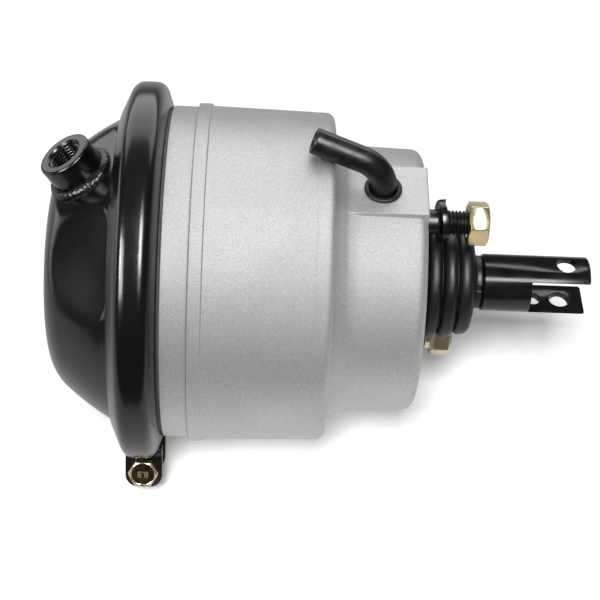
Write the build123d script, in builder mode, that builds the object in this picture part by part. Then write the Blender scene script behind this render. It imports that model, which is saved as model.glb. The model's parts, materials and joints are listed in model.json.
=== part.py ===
"""Air brake chamber with a cast housing, a V-band clamp and a round fork end.

All sizes are in millimetres.  The axis of the push rod is the X axis and points out of the
chamber, the mounting face lies in the plane X = 0, and the two mounting studs stand above and
below the axis, along Z.  A clock angle is counted about the X axis from +Z towards -Y.
"""

from build123d import *
import math
import os

os.makedirs("parts", exist_ok=True)

# ---------------------------------------------------------------- overall layout
body_length = 128.9          # mounting face to the flange face of the housing
bead_gap = 4.0               # between the two flanges at the rim of the diaphragm
slip = 0.1                   # free gap between pieces that are bolted or screwed together
air_gap = 0.3                # free gap beside a piece that moves
loose_fit = 0.55             # free gap round a washer that hangs on its stud
edge = 0.8                   # usual width of a broken edge

# ---------------------------------------------------------------- cast housing
flange_radius = 87.4
main_radius = 79.8
main_draft = 1.2             # growth of the radius along the main cylinder
rib_height = 1.1
rib_width = 6.5
rib_position = 27.7          # flange face to the front edge of the cast rib
rib_lean = 0.4               # lean of the rib's flanks
collar_radius = 80.4         # short cylinder between the rib and the clamp
groove_depth = 2.6
groove_width = 4.9
groove_front = 12.3          # flange face to the front edge of the groove
step_position = 42.6         # mounting face to the step between the two cylinders
shoulder_round = 7.0
shoulder_drop = 0.3          # the draft shortens the round by this much
neck_radius = 69.6           # largest radius of the hollow neck at the step
nose_radius = 63.5
nose_draft = 0.9
nose_length = 31.6
nose_round = 5.0
neck_hollow = 2.1            # bulge of the hollow between the nose and the step
housing_wall = 4.6
front_wall = 9.0
inner_round = 3.0
inner_step_back = 8.0        # the inner cone starts this far behind the step
inner_step_front = 5.6       # and ends this far in front of it
bore_entry = 2.0             # length of the bore's broken edge at the flange face
rod_opening_radius = 20.0
spring_boss_height = 6.0
spring_boss_wall = 2.6

# ---------------------------------------------------------------- pressed cover
sheet = 3.0
cover_depth = 46.8           # flange face of the housing to the ridge of the cover
ridge_radius = 36.0
ridge_land = 1.5             # half the width of the ridge's narrow flat
ridge_shoulder = (2.4, 49.4) # depth behind the ridge and radius of the round's middle
cone_points = ((0.1816, 57.7), (0.3761, 64.9), (0.6325, 72.6))  # share of the depth, radius
cone_lean = 36.0
rim_bend = 1.8               # the cover leaves the band's flank this far below its foot
dish_depth = 3.0
dish_radius = 16.0
seat_width = 54.0
seat_length = 44.0
seat_lead = 16.0             # front edge of a flat to the centre of its port
seat_corner = 10.0
seat_taper = 25.0
seat_cut = 20.0
seat_angles = (0.0, 45.0)    # clock angles of the flat with the port and of the unused flat

# ---------------------------------------------------------------- air port
port_lean = 31.0             # the port leans this far back from square to the axis
port_root_depth = 15.6       # from the ridge to the middle of the port's flat
port_root_radius = 59.5
port_radius = 12.8
port_length = 14.0
port_hole_radius = 7.25      # tapping hole of an M16 x 1.5 thread
port_countersink = 1.35
weld_leg = 3.0
weld_fullness = 0.6          # share of the leg that the middle of the bead stands out

# ---------------------------------------------------------------- clamp band
band_sheet = 3.0
crown_radius = 91.5
crown_width = 13.2
front_flank_angle = 21.0     # from square to the axis, on the housing's side
rear_flank_angle = 24.0      # the same, on the cover's side
front_flank_foot = 80.0      # inner radius that each flank reaches
rear_flank_foot = 78.0
crown_round = 4.2
front_lip = 1.1              # the inner edge of each flank reaches this much further in
rear_lip = 1.2
lug_angle = 153.4
lug_width = 18.4
lug_thickness = 4.0
lug_half_gap = 9.0
lug_reach = 110.0
lug_corner = 6.0
clamp_bolt_radius = 4.0
clamp_bolt_seat = 101.0      # distance of the bolt's axis from the chamber's axis
clamp_bolt_flats = 13.0
clamp_head_height = 5.3
clamp_nut_height = 6.5
clamp_washer_radius = 8.0
clamp_washer_thickness = 1.6
clamp_bolt_overhang = 4.0

# ---------------------------------------------------------------- diaphragm, plate, rod, spring
rubber = 3.0
diaphragm_flat_radius = 46.5
diaphragm_bend = (4.0, 3.6)  # rise and growth of the round beside the push plate
diaphragm_low = (1.5, 12.6)  # foot of the cone, measured from the cover's last bend
diaphragm_high = (3.2, 3.0)  # top of the cone, behind the rim and inside the cover's last bend
diaphragm_rim = 3.0          # from the cover's flank to the middle of the rubber
bead_inset = 1.2
plate_sheet = 2.5
plate_radius = 44.7
plate_rim = 5.2
plate_lip = 1.5              # straight part of the plate's rim
rod_radius = 9.0
rod_thread_radius = 7.9
rod_thread_length = 17.8
rivet_radius = 6.4
rod_flange_radius = 14.0
rod_flange_height = 4.0
rod_flange_cone = 3.0
rod_point = 1.5
spring_wire = 5.0
spring_small_radius = 25.8
spring_large_radius = 36.0
spring_turns = 5.5
spring_sides = 8             # the wire's section, drawn with flats
spring_end_gap = 0.9         # each end of the wire clears its seat by this much
seat_sheet = 1.2
seat_ring_radius = 31.0

# ---------------------------------------------------------------- studs and nuts
stud_circle = 76.2
stud_radius = 6.0
stud_press_radius = 6.9      # knurled part that is pressed into the front wall
stud_thread_radius = 5.82
stud_shank = 6.5             # plain length above the mounting face
stud_head_radius = 9.0
stud_head_height = 5.0
stud_flats = 19.0
stud_point = 1.0             # broken edge at the end of a stud
corner_cut = 0.08            # share of a hexagon's corner radius that is turned off
stud_nut_height = 10.0
upper_nut_position = 21.0
upper_nut_corner = 3.7       # clock angle of one of the nut's corners
upper_stud_length = 31.5
lower_nut_position = 11.0
lower_nut_corner = 30.3
lower_stud_length = 22.0
lock_collar_radius = 7.2
lock_collar_height = 2.6
lock_washer_radius = 10.2
lock_washer_thickness = 3.2
lock_washer_position = 7.1
lock_washer_split = 2.0
lock_washer_turn = -30.0     # clock angle of the split

# ---------------------------------------------------------------- boot and fork end
boot_recess_radius = 30.5
boot_recess_depth = 3.4
boot_flange = 1.8
boot_wall = 2.0
boot_length = 31.9
boot_fold_pitch = 7.5
boot_fold_position = 7.4
boot_fold_radii = (28.1, 27.9, 26.0)
boot_valley_radius = 22.6
boot_first_valley = 5.0      # first fold to the valley behind it
boot_neck_round = 1.2
boot_crest = 2.4             # width of the crest of a fold
boot_neck_radius = 13.0
boot_neck_length = 5.0
retainer_inner_radius = 25.2
retainer_sheet = 1.4
fork_radius = 14.0
fork_back = 32.2             # mounting face to the back of the fork, with the rod home
fork_length = 52.2
fork_slot = 20.0
fork_slot_depth = 28.6
fork_pin_radius = 5.0
fork_pin_position = 11.5     # open end of the fork to the pin's axis
fork_side_hole_radius = 4.0
fork_side_hole_position = 24.7
thread_relief = 0.5          # the fork's threaded hole is this much deeper than the rod

# ---------------------------------------------------------------- breather
pad_angle = 7.0
pad_height = 64.2
pad_width = 30.0
pad_length = 37.0
breather_position = 21.0
breather_hole_radius = 7.5
breather_hole_depth = 20.0
grommet_radius = 8.7
grommet_flange = 1.6
grommet_bore = 6.5
tube_radius = 6.05
tube_bore = 4.2
tube_foot = 52.0             # distance of the tube's inner end from the chamber's axis
tube_corner = 78.0
tube_end_x = -54.0
tube_end_radius = 88.8
tube_end_angle = 3.4
tube_bend = 16.0


# ================================================================ shared geometry
def clock(angle, radius):
    """The point at this clock angle and radius in the plane X = 0."""
    turn = math.radians(angle)
    return Vector(0, -math.sin(turn) * radius, math.cos(turn) * radius)


def band_flank(radius, side, depth):
    """X of a flank of the clamp band at this radius, that far below its outer face."""
    angle = math.radians(front_flank_angle if side > 0 else rear_flank_angle)
    outer = band_centre + side * crown_width / 2
    reach = (crown_radius - radius) * math.tan(angle)
    return outer + side * (reach - depth / math.cos(angle))


def seat_plane(angle, depth):
    """The plane of a flat on the cover at this clock angle, sunk by this depth."""
    lean = math.radians(port_lean)
    outward = clock(angle, math.cos(lean)) + Vector(-math.sin(lean), 0, 0)
    along = Vector(math.cos(lean), 0, 0) + clock(angle, math.sin(lean))
    root = Vector(ridge_x + port_root_depth, 0, 0) + clock(angle, port_root_radius)
    return Plane(origin=root - outward * depth, x_dir=along, z_dir=outward)


def hexagon(flats):
    """The corner radius of a hexagon with this width across its flats."""
    return flats / math.sqrt(3)


flange_face = -body_length
ridge_x = flange_face - cover_depth
dish_x = ridge_x + dish_depth
band_centre = flange_face - bead_gap / 2
boss_radius = rod_opening_radius + spring_boss_wall
rib_x = flange_face + rib_position - rib_width
rear_of_step = -step_position - shoulder_round + shoulder_drop

# ================================================================ housing
main_end_radius = main_radius + main_draft
groove_radius = collar_radius - groove_depth
groove_x = flange_face + groove_front
bore_radius = main_end_radius - housing_wall
nose_bore = nose_radius - housing_wall

with BuildPart() as housing:
    with BuildSketch(Plane.XY):
        with BuildLine():
            Polyline(
                (-boot_recess_depth, rod_opening_radius),
                (-boot_recess_depth, boot_recess_radius),
                (0, boot_recess_radius),
                (0, nose_radius - nose_round),
            )
            RadiusArc((0, nose_radius - nose_round), (-nose_round, nose_radius), -nose_round)
            Line((-nose_round, nose_radius), (-nose_length, nose_radius + nose_draft))
            ThreePointArc(
                (-nose_length, nose_radius + nose_draft),
                (-(nose_length + step_position) / 2, nose_radius + nose_draft + neck_hollow),
                (-step_position, neck_radius),
            )
            Line((-step_position, neck_radius), (-step_position, main_radius - shoulder_round))
            RadiusArc(
                (-step_position, main_radius - shoulder_round),
                (rear_of_step, main_radius),
                -shoulder_round,
            )
            Polyline(
                (rear_of_step, main_radius),
                (rib_x + rib_width, main_end_radius),
                (rib_x + rib_width - rib_lean, main_end_radius + rib_height),
                (rib_x + rib_lean, main_end_radius + rib_height),
                (rib_x, collar_radius),
                (groove_x, collar_radius),
                (groove_x - edge, groove_radius),
                (groove_x - groove_width, groove_radius),
                (band_flank(groove_radius + edge, 1, band_sheet + slip), groove_radius + edge),
                (band_flank(flange_radius, 1, band_sheet + slip), flange_radius),
                (flange_face, flange_radius),
                (flange_face, bore_radius + edge),
                (flange_face + bore_entry, bore_radius),
                (-step_position - inner_step_back, main_radius - housing_wall),
                (-step_position + inner_step_front, neck_radius - housing_wall - inner_round),
                (-nose_length, nose_bore + nose_draft),
                (-front_wall - inner_round, nose_bore),
                (-front_wall, nose_bore - inner_round),
                (-front_wall, boss_radius),
                (-front_wall - spring_boss_height, boss_radius),
                (-front_wall - spring_boss_height, rod_opening_radius),
                (-boot_recess_depth, rod_opening_radius),
            )
        make_face()
    revolve(axis=Axis.X)
    pad_plane = Plane(
        origin=clock(pad_angle, pad_height), x_dir=(1, 0, 0), z_dir=clock(pad_angle, 1)
    )
    with BuildSketch(pad_plane):
        with Locations((-pad_length / 2, 0)):
            Rectangle(pad_length, pad_width)
    extrude(amount=-(pad_height - nose_bore - edge))
    with BuildSketch(pad_plane):
        with Locations((-nose_length / 2, 0)):
            Rectangle(nose_length, pad_width)
    extrude(amount=nose_draft * 2, mode=Mode.SUBTRACT)
    with BuildSketch(pad_plane):
        with Locations((-breather_position, 0)):
            Circle(breather_hole_radius)
    extrude(amount=-breather_hole_depth, mode=Mode.SUBTRACT)
    with BuildSketch(Plane.YZ):
        with Locations((0, stud_circle / 2), (0, -stud_circle / 2)):
            Circle(stud_press_radius + slip)
    extrude(amount=-front_wall * 2, mode=Mode.SUBTRACT)
housing.part.label = "housing"
export_step(housing.part, "parts/housing.step")

# ================================================================ pressure cover
cone_top, cone_middle, cone_foot = (
    (ridge_x + share * cover_depth, radius) for share, radius in cone_points
)


def cover_outline(inset):
    """The cover's outer face, or its inner face with the sheet's thickness as inset."""
    foot = rear_flank_foot - rim_bend - inset * 0.4
    lean = math.radians(cone_lean)
    shift = Vector(inset * math.sin(lean), -inset * math.cos(lean))
    top = Vector(*cone_top) + shift
    middle = Vector(*cone_middle) + shift
    bottom = Vector(*cone_foot) + shift
    dish = (dish_x + inset, dish_radius)
    ridge = (ridge_x + inset, ridge_radius - ridge_land)
    ridge_end = (ridge_x + inset, ridge_radius + ridge_land)
    shoulder = (
        ridge_x + ridge_shoulder[0] + inset * math.cos(lean),
        ridge_shoulder[1] - inset * math.sin(lean),
    )
    depth = band_sheet + slip + inset
    rim_heading = (math.cos(math.radians(30)), math.sin(math.radians(30)))
    Polyline((dish_x + inset, 0), dish, ridge, ridge_end)
    ThreePointArc(ridge_end, shoulder, top)
    ThreePointArc(top, middle, bottom)
    TangentArc(bottom, (band_flank(foot, -1, depth), foot), tangent=rim_heading)
    Line((band_flank(foot, -1, depth), foot), (band_flank(flange_radius, -1, depth), flange_radius))


with BuildPart() as cover_form:
    with BuildSketch(Plane.XY):
        with BuildLine():
            cover_outline(0)
            rim_x = band_flank(flange_radius, -1, band_sheet + slip)
            Polyline((rim_x, flange_radius), (flange_face, flange_radius),
                     (flange_face, 0), (dish_x, 0))
        make_face()
    revolve(axis=Axis.X)
    for seat_angle in seat_angles:
        with BuildSketch(seat_plane(seat_angle, 0)):
            with Locations((seat_lead - seat_length / 2, 0)):
                RectangleRounded(seat_length, seat_width, seat_corner)
        extrude(amount=seat_cut, taper=-seat_taper, mode=Mode.SUBTRACT)

with BuildPart() as cover_hollow:
    with BuildSketch(Plane.XY):
        with BuildLine():
            cover_outline(sheet)
            rim_x = band_flank(flange_radius, -1, band_sheet + slip + sheet)
            Polyline((rim_x, flange_radius), (rim_x, flange_radius + sheet),
                     (flange_face + sheet, flange_radius + sheet),
                     (flange_face + sheet, 0), (dish_x + sheet, 0))
        make_face()
    revolve(axis=Axis.X)
    for seat_angle in seat_angles:
        with BuildSketch(seat_plane(seat_angle, sheet)):
            with Locations((seat_lead - seat_length / 2, 0)):
                RectangleRounded(
                    seat_length + 2 * sheet, seat_width + 2 * sheet, seat_corner + sheet
                )
        extrude(amount=seat_cut + sheet, taper=-seat_taper, mode=Mode.SUBTRACT)

with BuildPart() as pressure_cover:
    add(cover_form.part)
    add(cover_hollow.part, mode=Mode.SUBTRACT)
    with BuildSketch(seat_plane(seat_angles[0], sheet * 2)):
        Circle(port_hole_radius)
    extrude(amount=sheet * 4, mode=Mode.SUBTRACT)
pressure_cover.part.label = "pressure_cover"
export_step(pressure_cover.part, "parts/pressure_cover.step")

# ================================================================ air port
port_plane = seat_plane(seat_angles[0], 0)
with BuildPart() as port_boss:
    with BuildSketch(port_plane):
        Circle(port_radius)
        Circle(port_hole_radius, mode=Mode.SUBTRACT)
    extrude(amount=port_length)
    mouth = port_boss.faces().sort_by(Axis(port_plane.origin, port_plane.z_dir))[-1]
    mouth_edges = mouth.edges().sort_by(SortBy.RADIUS)
    chamfer(mouth_edges[0], port_countersink)
    chamfer(mouth_edges[-1], edge)
port_boss.part.label = "port_boss"
export_step(port_boss.part, "parts/port_boss.step")

with BuildPart() as port_weld:
    weld_section = Plane(
        origin=port_plane.origin, x_dir=port_plane.x_dir, z_dir=-port_plane.y_dir
    )
    with BuildSketch(weld_section):
        with BuildLine():
            Line((port_radius, 0), (port_radius + weld_leg, 0))
            ThreePointArc(
                (port_radius + weld_leg, 0),
                (port_radius + weld_leg * weld_fullness, weld_leg * weld_fullness),
                (port_radius, weld_leg),
            )
            Line((port_radius, weld_leg), (port_radius, 0))
        make_face()
    revolve(axis=Axis(port_plane.origin, port_plane.z_dir))
port_weld.part.label = "port_weld"
export_step(port_weld.part, "parts/port_weld.step")

# ================================================================ diaphragm
bead_foot = bore_radius + bead_inset
bead_top = flange_radius - bead_inset / 2
web_x = dish_x + sheet + air_gap + rubber / 2
rear_face = band_sheet + slip + sheet + slip
rubber_rim_x = band_flank(bead_foot, -1, rear_face) + diaphragm_rim

with BuildPart() as diaphragm:
    with BuildSketch(Plane.XY):
        with BuildLine() as web:
            Polyline(
                (web_x, 0),
                (web_x, diaphragm_flat_radius),
                (web_x + diaphragm_bend[0], diaphragm_flat_radius + diaphragm_bend[1]),
                (cone_foot[0] + diaphragm_low[0], cone_foot[1] - diaphragm_low[1]),
                (rubber_rim_x - diaphragm_high[0], cone_foot[1] - diaphragm_high[1]),
                (rubber_rim_x, bead_foot),
            )
        trace(line_width=rubber)
        with BuildLine():
            Polyline(
                (flange_face - slip / 2, bead_foot),
                (flange_face - slip / 2, bead_top),
                (band_flank(bead_top, -1, rear_face), bead_top),
                (band_flank(bead_foot, -1, rear_face), bead_foot),
                close=True,
            )
        make_face()
        split(bisect_by=Plane.XZ, keep=Keep.BOTTOM)
    revolve(axis=Axis.X)
diaphragm.part.label = "diaphragm"
export_step(diaphragm.part, "parts/diaphragm.step")

# ================================================================ push plate and rod
plate_back = web_x + rubber / 2 + air_gap
plate_front = plate_back + plate_sheet

with BuildPart() as push_plate:
    with BuildSketch(Plane.XY):
        with BuildLine():
            rim_start = plate_radius - plate_rim
            Line((plate_back, rivet_radius + slip), (plate_back, rim_start))
            RadiusArc((plate_back, rim_start), (plate_back + plate_rim, plate_radius), plate_rim)
            Polyline(
                (plate_back + plate_rim, plate_radius),
                (plate_back + plate_rim + plate_lip, plate_radius),
                (plate_back + plate_rim + plate_lip, plate_radius - plate_sheet),
                (plate_front + edge, plate_radius - plate_sheet),
                (plate_front, plate_radius - plate_sheet - edge),
                (plate_front, rivet_radius + slip),
                (plate_back, rivet_radius + slip),
            )
        make_face()
    revolve(axis=Axis.X)
push_plate.part.label = "push_plate"
export_step(push_plate.part, "parts/push_plate.step")

with BuildPart() as push_rod:
    with BuildSketch(Plane.XY):
        with BuildLine():
            Polyline(
                (plate_back, 0),
                (plate_back, rivet_radius),
                (plate_front, rivet_radius),
                (plate_front, rod_flange_radius),
                (plate_front + rod_flange_height, rod_flange_radius),
                (plate_front + rod_flange_height + rod_flange_cone, rod_radius),
                (fork_back, rod_radius),
                (fork_back, rod_thread_radius),
                (fork_back + rod_thread_length - rod_point, rod_thread_radius),
                (fork_back + rod_thread_length, rod_thread_radius - rod_point),
                (fork_back + rod_thread_length, 0),
                close=True,
            )
        make_face()
    revolve(axis=Axis.X)
push_rod.part.label = "push_rod"
export_step(push_rod.part, "parts/push_rod.step")

# ================================================================ return spring
spring_start = plate_front + spring_end_gap + spring_wire / 2
spring_end = -front_wall - seat_sheet - spring_end_gap - spring_wire / 2
spring_height = spring_end - spring_start
spring_cone = math.degrees(math.atan((spring_large_radius - spring_small_radius) / spring_height))

with BuildPart() as return_spring:
    with BuildLine():
        coil = Helix(
            pitch=spring_height / spring_turns,
            height=spring_height,
            radius=spring_large_radius,
            center=(spring_start, 0, 0),
            direction=(1, 0, 0),
            cone_angle=-spring_cone,
        )
    with BuildSketch(Plane(origin=coil @ 0, z_dir=coil % 0)):
        RegularPolygon(spring_wire / 2, spring_sides)
    sweep(path=coil, is_frenet=True)
return_spring.part.label = "return_spring"
export_step(return_spring.part, "parts/return_spring.step")

with BuildPart() as spring_seat:
    with BuildSketch(Plane.XY):
        with Locations((-front_wall - seat_sheet / 2, (boss_radius + slip + seat_ring_radius) / 2)):
            Rectangle(seat_sheet, seat_ring_radius - boss_radius - slip)
    revolve(axis=Axis.X)
    with BuildSketch(Plane.YZ.offset(-front_wall)):
        with Locations((0, stud_circle / 2), (0, -stud_circle / 2)):
            Circle(stud_head_radius + air_gap + slip)
    extrude(amount=-seat_sheet, mode=Mode.SUBTRACT)
spring_seat.part.label = "spring_seat"
export_step(spring_seat.part, "parts/spring_seat.step")

# ================================================================ clamp band
lug_out = clock(lug_angle, 1)
lug_along = clock(lug_angle + 90, 1)
lug_plane = Plane(origin=(band_centre, 0, 0), x_dir=(1, 0, 0), z_dir=lug_along)
band_ceiling = crown_radius - band_sheet

with BuildPart() as clamp_band:
    with BuildSketch(Plane.XY) as band_section:
        with BuildLine():
            Polyline(
                (band_flank(rear_flank_foot, -1, 0), rear_flank_foot),
                (band_flank(crown_radius, -1, 0), crown_radius),
                (band_flank(crown_radius, 1, 0), crown_radius),
                (band_flank(front_flank_foot, 1, 0), front_flank_foot),
                (band_flank(front_flank_foot - front_lip, 1, band_sheet), front_flank_foot - front_lip),
                (band_flank(band_ceiling, 1, band_sheet), band_ceiling),
                (band_flank(band_ceiling, -1, band_sheet), band_ceiling),
                (band_flank(rear_flank_foot - rear_lip, -1, band_sheet), rear_flank_foot - rear_lip),
                close=True,
            )
        make_face()
        crown_corners = band_section.vertices().sort_by(Axis.Y)[-2:]
        fillet(crown_corners, crown_round)
    revolve(axis=Axis.X)
    with BuildSketch(lug_plane):
        with Locations((0, crown_radius)):
            Rectangle(crown_width * 4, crown_radius)
    extrude(amount=lug_half_gap, both=True, mode=Mode.SUBTRACT)
    for side in (-1, 1):
        with BuildSketch(lug_plane.offset(side * lug_half_gap)) as lug_section:
            with BuildLine():
                Polyline(
                    (-lug_width / 2, band_ceiling),
                    (-lug_width / 2, lug_reach),
                    (lug_width / 2, lug_reach),
                    (lug_width / 2, band_ceiling),
                    close=True,
                )
            make_face()
            fillet(lug_section.vertices().sort_by(Axis.Y)[-2:], lug_corner)
            with Locations((0, clamp_bolt_seat)):
                Circle(clamp_bolt_radius + slip, mode=Mode.SUBTRACT)
        extrude(amount=side * lug_thickness)
clamp_band.part.label = "clamp_band"
export_step(clamp_band.part, "parts/clamp_band.step")


# ================================================================ fasteners
def section_plane(plane):
    """The plane whose x runs out from a round piece's axis and whose y runs along that axis."""
    return Plane(origin=plane.origin, x_dir=plane.x_dir, z_dir=-plane.y_dir)


def hexagon_block(plane, flats, height, bore):
    """A hexagon that stands on a plane, with its corners turned off and a round bore."""
    corner = hexagon(flats)
    with BuildPart() as block:
        with BuildSketch(plane):
            RegularPolygon(corner, 6)
            if bore:
                Circle(bore, mode=Mode.SUBTRACT)
        extrude(amount=height)
        with BuildSketch(section_plane(plane)):
            with BuildLine():
                Polyline(
                    (0, 0),
                    (flats / 2, 0),
                    (corner + slip, corner * corner_cut),
                    (corner + slip, height - corner * corner_cut),
                    (flats / 2, height),
                    (0, height),
                    close=True,
                )
            make_face()
        revolve(axis=Axis(plane.origin, plane.z_dir), mode=Mode.INTERSECT)
    return block.part


def lug_face(side):
    """The outer face of a lug, centred on the clamp bolt."""
    bolt = Vector(band_centre, 0, 0) + lug_out * clamp_bolt_seat
    return Plane(
        origin=bolt + lug_along * side * (lug_half_gap + lug_thickness),
        x_dir=(1, 0, 0),
        z_dir=lug_along * side,
    )


head_plane = lug_face(-1)
washer_plane = lug_face(1)
nut_plane = washer_plane.offset(clamp_washer_thickness)
lug_span = 2 * (lug_half_gap + lug_thickness)
bolt_length = lug_span + clamp_washer_thickness + clamp_nut_height + clamp_bolt_overhang

with BuildPart() as clamp_bolt:
    add(hexagon_block(head_plane, clamp_bolt_flats, clamp_head_height, 0))
    with BuildSketch(head_plane):
        Circle(clamp_bolt_radius)
    extrude(amount=-bolt_length)
    bolt_tip = clamp_bolt.faces().sort_by(Axis(head_plane.origin, head_plane.z_dir))[0]
    chamfer(bolt_tip.edges(), edge)
clamp_bolt.part.label = "clamp_bolt"
export_step(clamp_bolt.part, "parts/clamp_bolt.step")

with BuildPart() as clamp_washer:
    with BuildSketch(washer_plane):
        Circle(clamp_washer_radius)
        Circle(clamp_bolt_radius + slip * 2, mode=Mode.SUBTRACT)
    extrude(amount=clamp_washer_thickness)
clamp_washer.part.label = "clamp_washer"
export_step(clamp_washer.part, "parts/clamp_washer.step")

with BuildPart() as clamp_nut:
    add(hexagon_block(nut_plane, clamp_bolt_flats, clamp_nut_height, clamp_bolt_radius + slip))
clamp_nut.part.label = "clamp_nut"
export_step(clamp_nut.part, "parts/clamp_nut.step")


def stud_plane(x, side, corner_angle, outward=1):
    """A plane square to a stud at this X; its x axis has the given clock angle."""
    return Plane(
        origin=(x, 0, side * stud_circle / 2),
        x_dir=clock(corner_angle, 1),
        z_dir=(outward, 0, 0),
    )


def stud(side, length):
    """A mounting stud: hexagon head, part pressed into the front wall, plain shank, thinner thread."""
    with BuildPart() as whole:
        add(hexagon_block(
            stud_plane(-front_wall, side, 0, -1), stud_head_radius * math.sqrt(3),
            stud_head_height, 0,
        ))
        with BuildSketch(stud_plane(-front_wall, side, 0)):
            Circle(stud_press_radius)
        extrude(amount=front_wall)
        with BuildSketch(stud_plane(0, side, 0)):
            Circle(stud_radius)
        extrude(amount=stud_shank)
        with BuildSketch(stud_plane(stud_shank, side, 0)):
            Circle(stud_thread_radius)
        extrude(amount=length - stud_shank)
        chamfer(whole.faces().sort_by(Axis.X)[-1].edges(), stud_point)
    return whole.part


for stud_name, side, length in (
    ("upper_stud", 1, upper_stud_length),
    ("lower_stud", -1, lower_stud_length),
):
    with BuildPart() as mounting_stud:
        add(stud(side, length))
    mounting_stud.part.label = stud_name
    export_step(mounting_stud.part, f"parts/{stud_name}.step")

nut_bore = stud_thread_radius + slip
with BuildPart() as upper_stud_nut:
    add(hexagon_block(
        stud_plane(upper_nut_position, 1, upper_nut_corner), stud_flats, stud_nut_height, nut_bore
    ))
upper_stud_nut.part.label = "upper_stud_nut"
export_step(upper_stud_nut.part, "parts/upper_stud_nut.step")

with BuildPart() as lower_stud_nut:
    add(hexagon_block(
        stud_plane(lower_nut_position, -1, lower_nut_corner), stud_flats, stud_nut_height, nut_bore
    ))
    with BuildSketch(stud_plane(lower_nut_position, -1, 0, -1)):
        Circle(lock_collar_radius)
        Circle(nut_bore, mode=Mode.SUBTRACT)
    extrude(amount=lock_collar_height)
lower_stud_nut.part.label = "lower_stud_nut"
export_step(lower_stud_nut.part, "parts/lower_stud_nut.step")

with BuildPart() as lock_washer:
    washer_lift = Vector(0, 0, loose_fit - slip)
    washer_seat = stud_plane(lock_washer_position, 1, lock_washer_turn)
    washer_seat.origin += washer_lift
    with BuildSketch(washer_seat):
        Circle(lock_washer_radius)
        Circle(stud_thread_radius + loose_fit, mode=Mode.SUBTRACT)
        with Locations((lock_washer_radius, 0)):
            Rectangle(lock_washer_radius, lock_washer_split, mode=Mode.SUBTRACT)
    extrude(amount=lock_washer_thickness)
lock_washer.part.label = "lock_washer"
export_step(lock_washer.part, "parts/lock_washer.step")

# ================================================================ boot
boot_bore = rod_radius + air_gap
neck_start = boot_length - boot_neck_length
half_wall = boot_wall / 2
flange_top = -boot_recess_depth + boot_flange
valley = boot_valley_radius - half_wall

with BuildPart() as boot:
    with BuildSketch(Plane.XY):
        with BuildLine():
            folds = [(flange_top - half_wall, valley), (boot_fold_position - boot_first_valley, valley)]
            for index, crest in enumerate(boot_fold_radii):
                crest_x = boot_fold_position + index * boot_fold_pitch
                folds.append((crest_x - boot_crest / 2, crest - half_wall))
                folds.append((crest_x + boot_crest / 2, crest - half_wall))
                folds.append((crest_x + boot_fold_pitch / 2, valley))
            folds[-1] = (neck_start + boot_neck_round, boot_neck_radius - half_wall)
            Polyline(*folds)
        trace(line_width=boot_wall)
        neck_height = boot_neck_radius - boot_bore
        with Locations(((boot_length + neck_start) / 2, boot_bore + neck_height / 2)):
            Rectangle(boot_neck_length, neck_height)
        flange_width = boot_recess_radius - rod_opening_radius - 2 * air_gap
        with Locations((flange_top - boot_flange / 2, (boot_recess_radius + rod_opening_radius) / 2)):
            Rectangle(boot_flange, flange_width)
    revolve(axis=Axis.X)
boot.part.label = "boot"
export_step(boot.part, "parts/boot.step")

with BuildPart() as boot_retainer:
    with BuildSketch(Plane.YZ.offset(flange_top + slip / 2)):
        Circle(boot_recess_radius - slip)
        Circle(retainer_inner_radius, mode=Mode.SUBTRACT)
    extrude(amount=retainer_sheet)
boot_retainer.part.label = "boot_retainer"
export_step(boot_retainer.part, "parts/boot_retainer.step")

# ================================================================ fork end
fork_tip = fork_back + fork_length
with BuildPart() as fork_end:
    with BuildSketch(Plane.YZ.offset(fork_back)):
        Circle(fork_radius)
    extrude(amount=fork_length)
    chamfer(fork_end.edges().filter_by(GeomType.CIRCLE), edge)
    with BuildSketch(Plane.YZ.offset(fork_back)):
        Circle(rod_thread_radius + slip)
    extrude(amount=rod_thread_length + thread_relief, mode=Mode.SUBTRACT)
    with BuildSketch(Plane.XZ):
        with Locations((fork_tip - fork_slot_depth / 2 + 1, 0)):
            Rectangle(fork_slot_depth + 2, fork_slot)
    extrude(amount=fork_radius + 1, both=True, mode=Mode.SUBTRACT)
    with BuildSketch(Plane.XY):
        with Locations((fork_tip - fork_pin_position, 0)):
            Circle(fork_pin_radius)
    extrude(amount=fork_radius + 1, both=True, mode=Mode.SUBTRACT)
    with BuildSketch(Plane.XY):
        with Locations((fork_tip - fork_side_hole_position, 0)):
            Circle(fork_side_hole_radius)
    extrude(amount=-fork_radius - 1, mode=Mode.SUBTRACT)
fork_end.part.label = "fork_end"
export_step(fork_end.part, "parts/fork_end.step")

# ================================================================ breather
with BuildPart() as breather_grommet:
    grommet_plane = pad_plane.offset(slip / 2)
    with BuildSketch(grommet_plane):
        with Locations((-breather_position, 0)):
            Circle(grommet_radius)
            Circle(grommet_bore, mode=Mode.SUBTRACT)
    extrude(amount=grommet_flange)
    fillet(breather_grommet.faces().sort_by(Axis.Z)[-1].edges(), grommet_flange * 0.4)
    with BuildSketch(grommet_plane):
        with Locations((-breather_position, 0)):
            Circle(breather_hole_radius - slip)
            Circle(grommet_bore, mode=Mode.SUBTRACT)
    extrude(amount=-(pad_height - nose_bore))
breather_grommet.part.label = "breather_grommet"
export_step(breather_grommet.part, "parts/breather_grommet.step")

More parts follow.
